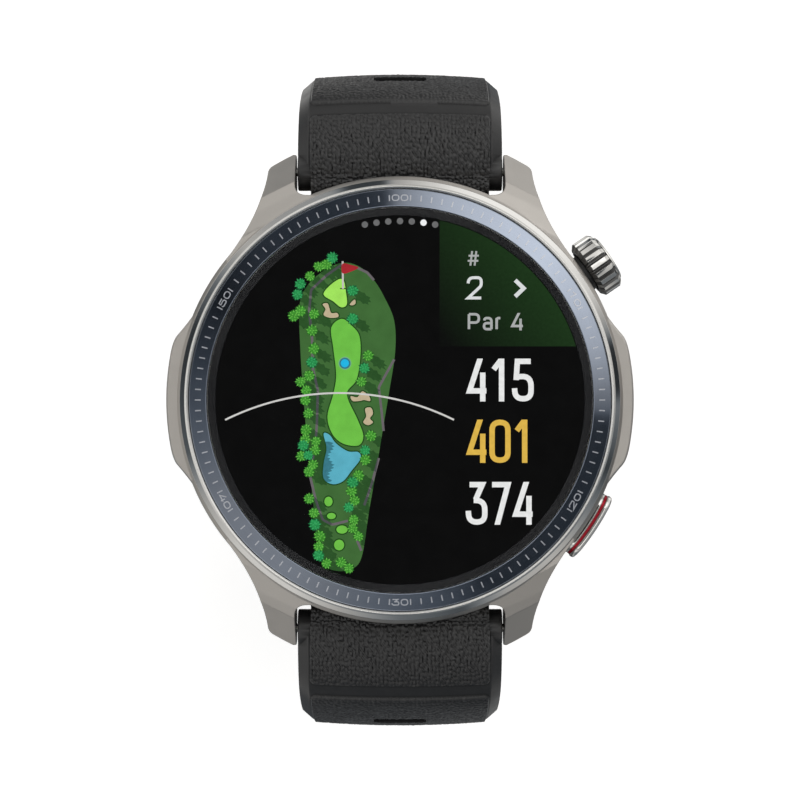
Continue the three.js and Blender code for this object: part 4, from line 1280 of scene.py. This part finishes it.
def crackle(x, s, seed):
    """Height of a leather-like crackle, from 0 in the cracks to about 1 on the pebbles."""
    draw = np.random.default_rng(seed)
    columns, rows = int(26 / CELL) + 4, int(130 / CELL) + 4
    spots = draw.uniform(0.08, 0.92, (columns, rows, 2))
    tilt = draw.uniform(-0.9, 0.9, (columns, rows, 2))
    u, v = (x + 13) / CELL + 1, (s + 5) / CELL + 1
    i, j = np.floor(u).astype(int), np.floor(v).astype(int)
    first, second = np.full(x.shape, 9.0), np.full(x.shape, 9.0)
    lean = np.zeros(x.shape)
    for di in (-1, 0, 1):
        for dj in (-1, 0, 1):
            a, b = np.clip(i + di, 0, columns - 1), np.clip(j + dj, 0, rows - 1)
            away_u, away_v = u - (a + spots[a, b, 0]), v - (b + spots[a, b, 1])
            distance = np.hypot(away_u, away_v)
            nearer = distance < first
            second = np.where(nearer, first, np.minimum(second, distance))
            lean = np.where(nearer, away_u * tilt[a, b, 0] + away_v * tilt[a, b, 1], lean)
            first = np.where(nearer, distance, first)
    pebble = smoothstep(second - first, 0.02, 0.34)
    return pebble * (1 + lean)


def panel_mask(x, s, half_width, panels, corner=0.6, edge=0.14):
    """1 on the raised panels and 0 beside them, with rounded corners."""
    mask = np.zeros(x.shape)
    for start, end in panels:
        along = np.abs(s - (start + end) / 2) - ((end - start) / 2 - corner)
        across = np.abs(x) - (half_width - corner)
        outside = np.hypot(np.maximum(along, 0), np.maximum(across, 0))
        distance = corner - outside - np.minimum(np.maximum(along, across), 0)
        mask = np.maximum(mask, smoothstep(distance, 0, edge))
    return mask


def strap_blade(runs, panels, width_of, seed):
    """One strap half as a closed skin, with raised crackled panels on its outside."""
    s, y, z, heading = centre_line(runs)
    side = (width_of(s) / 2)[:, None]
    half = (thickness(s) / 2)[:, None]
    rim = np.array([0, 0.1, 0.98, 1.08, 1.14, 1.2, 1.27, 1.34])
    inner = np.linspace(-1, 1, 162)[1:-1]
    top_x = np.hstack([side - rim, -inner * (side - rim[-1]), -(side - rim)[:, ::-1]])
    from_edge = side - np.abs(top_x)
    edge_drop = EDGE_DROP - (EDGE_DROP - CROWNING) * np.clip(from_edge / EDGE_WIDTH, 0, 1)
    crown_drop = CROWNING * (top_x / (side - EDGE_WIDTH)) ** 2
    drop = np.where(np.abs(top_x) > side - EDGE_WIDTH, edge_drop, crown_drop)
    s_top = np.broadcast_to(s[:, None], top_x.shape)
    raised = panel_mask(top_x, s_top, side - 1.2, panels)
    depth = PEBBLE_RISE * (1 - 0.5 * smoothstep(s_top, 3, 6.5))
    relief = raised * (PANEL_RISE + depth * crackle(top_x, s_top, seed))
    top_out = half - PANEL_RISE - drop + relief
    # The rest of the cross-section: two straight sides, rounded into the flat underside
    low_half = [(side * 0.5, -half), (side - 0.4, -half), (side - 0.12, 0.12 - half), (side, 0.4 - half),
                (side, half * 0)]
    low_x = [-x for x, _ in reversed(low_half)] + [x for x, _ in low_half]
    low_out = [out for _, out in reversed(low_half)] + [out for _, out in low_half]
    across = np.hstack([top_x, *low_x])
    out = np.hstack([top_out, *low_out])
    ring_y = y[:, None] + out * np.sin(heading)[:, None]
    ring_z = z[:, None] + out * np.cos(heading)[:, None]
    return skin(np.dstack([across, ring_y, ring_z]))


def root_pad(seed):
    """The crackled outside of the strap where it curls down round the spring bar."""
    start = math.radians(START_TILT)
    turns = np.linspace(start - math.radians(75), start, 42)
    curl = smoothstep(start - turns, 0, 0.8)[:, None]
    x = np.linspace(ROOT_REACH, -ROOT_REACH, 158)[None, :]
    arc = thickness(0) / 2 * (turns - start)[:, None] + 0 * x
    drop = CROWNING * (x / (STRAP_WIDTH / 2 - EDGE_WIDTH)) ** 2 * (1 - curl)
    reach = thickness(0) / 2 - drop + 0.5 * curl + PEBBLE_RISE * crackle(x + 0 * arc, arc, seed)
    turns, reach = np.append(turns, start + 0.15), np.vstack([reach, np.full_like(x, 1.5)])
    across = np.hstack([x, [[-ROOT_REACH, ROOT_REACH]]]) + 0 * turns[:, None]
    out = np.hstack([reach, np.full((len(turns), 2), 0.3)])
    y = out * np.sin(turns)[:, None]
    z = out * np.cos(turns)[:, None]
    return moved(skin(np.dstack([across, y, z])), BAR)


def with_bar_root(blade, seed):
    """Adds the barrel round the spring bar, stepped in at both corners, and bores it."""
    barrel, corner, bar_bore = 2.9, 2.0, 1.1
    along_bar = BAR @ TO_X
    middle = moved(rod(barrel, -ROOT_REACH, ROOT_REACH, 0.25, 96), along_bar)
    cut(middle, moved(block(-12, 12, -4, 4, 0.4, 4), BAR))
    edge = moved(rod(corner, -STRAP_WIDTH / 2, STRAP_WIDTH / 2, 0.15, 96), along_bar)
    join(blade, middle, edge, root_pad(seed))
    bore = moved(rod(bar_bore, -12, 12, count=48), along_bar)
    lever_slot = moved(block(4.5, 7.8, -1, 1, -4, 0), BAR)
    return cut(blade, bore, lever_slot)


def vent(line):
    """The shallow cross slot where the strap turns down."""
    floor = float(thickness(VENT)) / 2 - 0.5
    return moved(prism(rounded_box(5.7, 1.9, 0.5), floor, 4), on_strap(line, VENT))


def dress_strap(blade, name, body, node):
    dress(blade, name, body, "black_rubber", silicone, node, smooth=50, flat=False)


def buckle_half():
    """The strap half above 12 o'clock, with a notch for the tongue in the barrel at its end."""
    plain_end = 24
    panels = [(-4, BAND[0]), (BAND[1], BUCKLE_LENGTH - plain_end)]
    blade = with_bar_root(strap_blade(BUCKLE_RUNS, panels, strap_width, 3), 3)
    along_bar = BUCKLE_END @ TO_X
    half_width = STRAP_END_WIDTH / 2
    join(blade, moved(rod(1.9, -half_width, half_width, 0.2, 72), along_bar))
    bore = moved(rod(0.95, -12, 12, count=48), along_bar)
    notch = moved(prism(rounded_box(3.8, 7.2, 0.8), -4, 4), BUCKLE_END @ shift(0, -0.6, 0))
    cut(blade, bore, notch, vent(buckle_line))
    dress_strap(blade, "strap_with_buckle", "strap_top", "strap_buckle_half")


def tail_half():
    """The strap half below 6 o'clock, with its row of holes; made like the other and turned round."""
    panels = [(-4, BAND[0]), (BAND[1], 46)]
    blade = with_bar_root(strap_blade(TAIL_RUNS, panels, tail_width, 5), 5)
    slots = [moved(prism(rounded_box(3.4, 2.2, 1.05), -3, 3), on_strap(tail_line, hole)) for hole in HOLES]
    cut(blade, vent(tail_line), *slots)
    moved(blade, TURN_BOTTOM)
    dress_strap(blade, "strap_with_holes", "strap_bottom", "strap_tail_half")


def spring_bars():
    """Each strap half's bar: a tube with one fixed tip, and a sliding tip with its lever."""
    tip_radius, tip_end = 0.45, 11.9
    for end, turn in (("top", Matrix.Identity(4)), ("bottom", TURN_BOTTOM)):
        tube = rod(0.9, -9.6, 9.6, 0.1, 48)
        join(tube, rod(tip_radius, -tip_end, -9, 0.12, 32))
        cut(tube, rod(0.6, 4.6, 11, count=32))
        moved(tube, BAR @ TO_X)
        cut(tube, moved(block(4.85, 7.45, -0.55, 0.55, -2, 0), BAR))
        dress(moved(tube, turn), f"bar_{end}", f"strap_{end}", "steel", steel, f"spring_bar_{end}")
        tip = moved(rod(tip_radius, 6.2, tip_end, 0.1, 32), TO_X)
        join(tip, moved(rod(tip_radius, -2.3, 0, 0.1, 32), shift(6.8, 0, 0)))
        moved(tip, turn @ BAR)
        dress(tip, f"lever_{end}_pin", f"lever_{end}", "steel", steel, f"release_lever_{end}")


# ---------------------------------------------------------------- buckle and keepers


TONGUE_WIDTH = 2.6
HINGE_HOLE = 0.95


def buckle():
    """The buckle frame, open between its two eyes, with a rest for the tongue's tip."""
    length, width = 12.5, STRAP_END_WIDTH + 4.6
    gap = STRAP_END_WIDTH + 0.9
    rest_half = TONGUE_WIDTH / 2 + 0.2
    ring = stacked(rounded_box(width, length, 3, 10), soft_levels(-1.2, 1.2, 0.5, 4))
    hole = prism(rounded_box(gap, length - 4.8, 0.9), -3, 3)
    place = shift(0, length / 2 - 2.2, 0)
    cut(moved(ring, place), moved(hole, place))
    opening = block(-gap / 2, gap / 2, -4, 2.4, -3, 3)
    rest = block(-rest_half, rest_half, 6, 12, 0.35, 2)
    holes = moved(rod(HINGE_HOLE, -11.6, 11.6, count=48), TO_X)
    cut(ring, opening, rest, holes)
    bevelled(ring, 0.12, 2, 50)
    moved(ring, BUCKLE_END)
    dress(ring, "buckle_loop", "buckle", "titanium", titanium, "buckle_frame", smooth=35)


def tongue():
    """The buckle's tongue: a bent blade on an eye round the bar."""
    half_width = TONGUE_WIDTH / 2
    profile = [(0, 0.2, 0), (3, 0.5, 0.5), (10.6, 0.5, 0.6), (11.3, 0.9, 0.3), (10.6, 1.5, 0.8),
               (3.5, 1.75, 2), (0, 1.6, 0)]
    blade = stacked(filleted(profile, 4), soft_levels(-half_width, half_width, 0.25))
    across_to_x = Matrix(((0, 0, 1, 0), (1, 0, 0, 0), (0, 1, 0, 0), (0, 0, 0, 1)))
    moved(blade, across_to_x)
    eye = moved(rod(1.6, -half_width, half_width, 0.2, 64), TO_X)
    join(eye, blade)
    cut(eye, moved(rod(HINGE_HOLE, -3, 3, count=48), TO_X))
    moved(eye, BUCKLE_END)
    dress(eye, "buckle_pin", "tongue", "titanium", titanium, "buckle_tongue", smooth=35)


def hinge_bar():
    """The bar through the buckle, the tongue and the strap's end."""
    bar = moved(rod(0.75, -11.4, 11.4, 0.12, 48), BUCKLE_END @ TO_X)
    dress(bar, "buckle_hinge_bar", "strap_top", "steel", steel, "buckle_bar")


def keeper(name, body, distance, node):
    """A loop round the strap, at a distance from the buckle's bar."""
    wall, length, height, edge = 1.1, 5.2, 6.4, 0.3
    outer = rounded_box(STRAP_END_WIDTH + 0.7 + 2 * wall, height + 2 * wall, 1.8, 8)
    low, high = -length / 2, length / 2
    quarter = [(edge * (1 - math.sin(a)), edge * (1 - math.cos(a))) for a in np.linspace(0, math.pi / 2, 4)]
    section = [(low + rise, out) for rise, out in reversed(quarter)]
    section += [(high - rise, out) for rise, out in quarter]
    section += [(high - rise, wall - out) for rise, out in reversed(quarter)]
    section += [(low + rise, wall - out) for rise, out in quarter]
    ring = stacked(outer, section, closed=True)
    lift = height / 2 - float(thickness(60)) / 2 - 0.2
    moved(ring, BUCKLE_END @ shift(0, -distance, lift) @ spin(math.pi / 2, "X"))
    dress(ring, name, body, "black_rubber", silicone, node, smooth=50)


# ---------------------------------------------------------------- stage, light and camera


# The studio is six belts of soft panels round the watch. Each belt reaches down to an angle from
# straight up, and holds (azimuth, brightness) stops, clockwise from 12 o'clock.
BELTS = [
    (24, [(0, 1.8), (60, 1.1), (120, 1.1), (180, 1.5), (240, 1.0), (300, 1.0)]),
    (37, [(0, 0.6), (12, 1.25), (30, 1.65), (45, 1.85), (60, 1.5), (75, 1.08), (90, 0.42), (93, 0.35),
          (94.5, 0.055), (155, 0.055), (165, 0.14), (180, 0.25), (195, 0.38), (210, 0.57), (225, 0.57),
          (240, 0.49), (255, 0.31), (270, 0.165), (285, 0.075), (300, 0.02), (315, 0.06), (345, 0.065),
          (357, 0.065), (358.2, 0.5)]),
    (62, [(0, 1.0), (26, 1.33), (60, 1.2), (90, 0.8), (125, 0.5), (153, 0.61), (180, 0.7), (206, 0.86),
          (240, 0.9), (270, 1.05), (333, 0.99)]),
    (98, [(0, 0.5), (26, 0.75), (60, 1.0), (90, 0.4), (120, 0.2), (153, 0.2), (180, 0.15), (206, 0.35),
          (240, 0.7), (270, 0.85), (300, 0.7), (333, 0.9)]),
    (124, [(0, 0.48), (14, 1.0), (24, 1.14), (45, 1.14), (60, 0.79), (72, 0.28), (75, 0.03), (88, 0.03),
           (91, 0.2), (103, 0.1), (108, 0.04), (120, 0.23), (136, 0.56), (150, 0.45), (163, 0.08),
           (180, 0.17), (196, 0.46), (210, 0.76), (226, 0.76), (242, 0.45), (256, 0.1), (271, 0.06),
           (280, 0.04), (290, 0.04), (302, 0.15), (315, 0.5), (325, 0.4), (342, 0.33), (346, 0.05),
           (356, 0.05), (358, 0.45)]),
    (180, [(0, 0.45), (26, 0.05), (60, 0.9), (95, 0.45), (125, 0.3), (153, 0.45), (180, 0.3), (206, 0.05),
           (270, 0.5), (333, 0.95)]),
]
# Deep shade is tinted blue, and panels are almost white.
SHADE_TINT = (0.9, 1.04, 1.18, 1)
PANEL_TINT = (1.01, 1.0, 0.98, 1)
PANEL_EDGE = 1.5
WHITE = (1, 1, 1, 1)
CAMERA_HEIGHT = 252
LENS = 104.9  # focal length that shows the watch at the photo's size from that height


def panels(graph, turn, stops):
    """Brightness round one belt; turn runs from 0 to 1 clockwise from 12 o'clock."""
    ramp = graph.add("ValToRGB", Fac=turn)
    brightest = max(level for _, level in stops)
    marks = ramp.color_ramp.elements
    shades = [(azimuth / 360, (level / brightest,) * 3 + (1,)) for azimuth, level in stops]
    marks[0].color = marks[1].color = shades[0][1]
    for position, shade in shades[1:]:
        marks.new(position).color = shade
    return graph.math("MULTIPLY", ramp.outputs[0], brightest)


def studio_world():
    """Belts of panels for everything the watch reflects, and a plain pale surround for the camera."""
    world = bpy.data.worlds.new("studio")
    scene.world = world
    graph = Graph(world)
    x, y, z = graph.add("SeparateXYZ", Vector=graph.read("TexCoord", "Generated")).outputs
    azimuth = graph.math("DIVIDE", graph.math("ARCTAN2", x, y), 2 * math.pi)
    turn = graph.math("FRACT", graph.math("ADD", azimuth, 1.0))
    fall = graph.math("DEGREES", graph.math("ARCCOSINE", z))
    level = panels(graph, turn, BELTS[0][1])
    for (end, _), (_, stops) in zip(BELTS, BELTS[1:]):
        below = graph.spread(fall, end - PANEL_EDGE, end + PANEL_EDGE, 0, 1)
        level = graph.mix(below, level, panels(graph, turn, stops))
    tint = graph.mix(graph.spread(level, 0.05, 0.45, 0, 1), SHADE_TINT, PANEL_TINT)
    light = graph.add("VectorMath", {"operation": "SCALE"}, Vector=tint, Scale=level).outputs[0]
    shown = graph.mix(graph.read("LightPath", "Is Camera Ray"), light, WHITE)
    graph.output(graph.wired("Background", shown), "OutputWorld")


def staged(obj, name, material):
    """Names a piece of the set and gives it its surface."""
    obj.name = name
    obj.data.materials.append(material)


def pale_floor():
    """A pale floor just below the strap, clear from below so that the watch's back can be seen."""
    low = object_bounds()[0].z / MM
    material = bpy.data.materials.new("floor_paint")
    graph = Graph(material)
    tone = graph.mix(graph.vary(graph.noise(60.0), 0, 1), (0.86, 0.86, 0.86, 1), (0.9, 0.9, 0.9, 1))
    lit = graph.wired("AddShader", graph.wired("BsdfDiffuse", tone), graph.wired("Emission", WHITE, 0.45))
    rise = graph.add("SeparateXYZ", Vector=graph.read("NewGeometry", "Incoming")).outputs[2]
    from_above = graph.math("GREATER_THAN", rise, 0.0)
    graph.output(graph.wired("MixShader", from_above, graph.wired("BsdfTransparent"), lit))
    floor = slabs([circle(1500, 128)], low - 6, low - 1)
    floor.visible_glossy = floor.visible_diffuse = False
    staged(floor, "studio_floor", material)


def reflection_flag():
    """A black disc above the camera, which keeps the flat crystal dark as seen from straight on."""
    material = bpy.data.materials.new("flag_black")
    graph = Graph(material)
    graph.output(graph.wired("BsdfDiffuse", (0.002, 0.002, 0.002, 1)))
    flag = slabs([circle(45, 64)], CAMERA_HEIGHT + 10, CAMERA_HEIGHT + 11)
    flag.visible_camera = flag.visible_diffuse = flag.visible_shadow = False
    staged(flag, "reflection_flag", material)


def camera():
    """Looks straight down on the display, as the photo does."""
    data = bpy.data.cameras.new("camera")
    data.lens = LENS
    data.sensor_width = 36
    data.clip_start = 0.01
    data.clip_end = 20
    eye = bpy.data.objects.new("camera", data)
    eye.location = (0, 0, CAMERA_HEIGHT * MM)
    scene.collection.objects.link(eye)
    scene.camera = eye


# ---------------------------------------------------------------- assembly


dress_cad_nodes()
case_shell()
bezel()
scale_insert()
scale_marks()
crystal_plate()
display_border()
add_screen()
crown_knob()
crown_cap()
side_button()
back_shell()
sensor_dome()
back_screws()
charge_pins()
buckle_half()
tail_half()
spring_bars()
buckle()
tongue()
hinge_bar()
keeper("keeper_fixed_loop", "strap_top", 7.6, "keeper_fixed")
keeper("keeper_sliding_loop", "keeper", 17.0, "keeper_free")

studio_world()
pale_floor()
reflection_flag()
camera()
scene.view_settings.view_transform = "Standard"
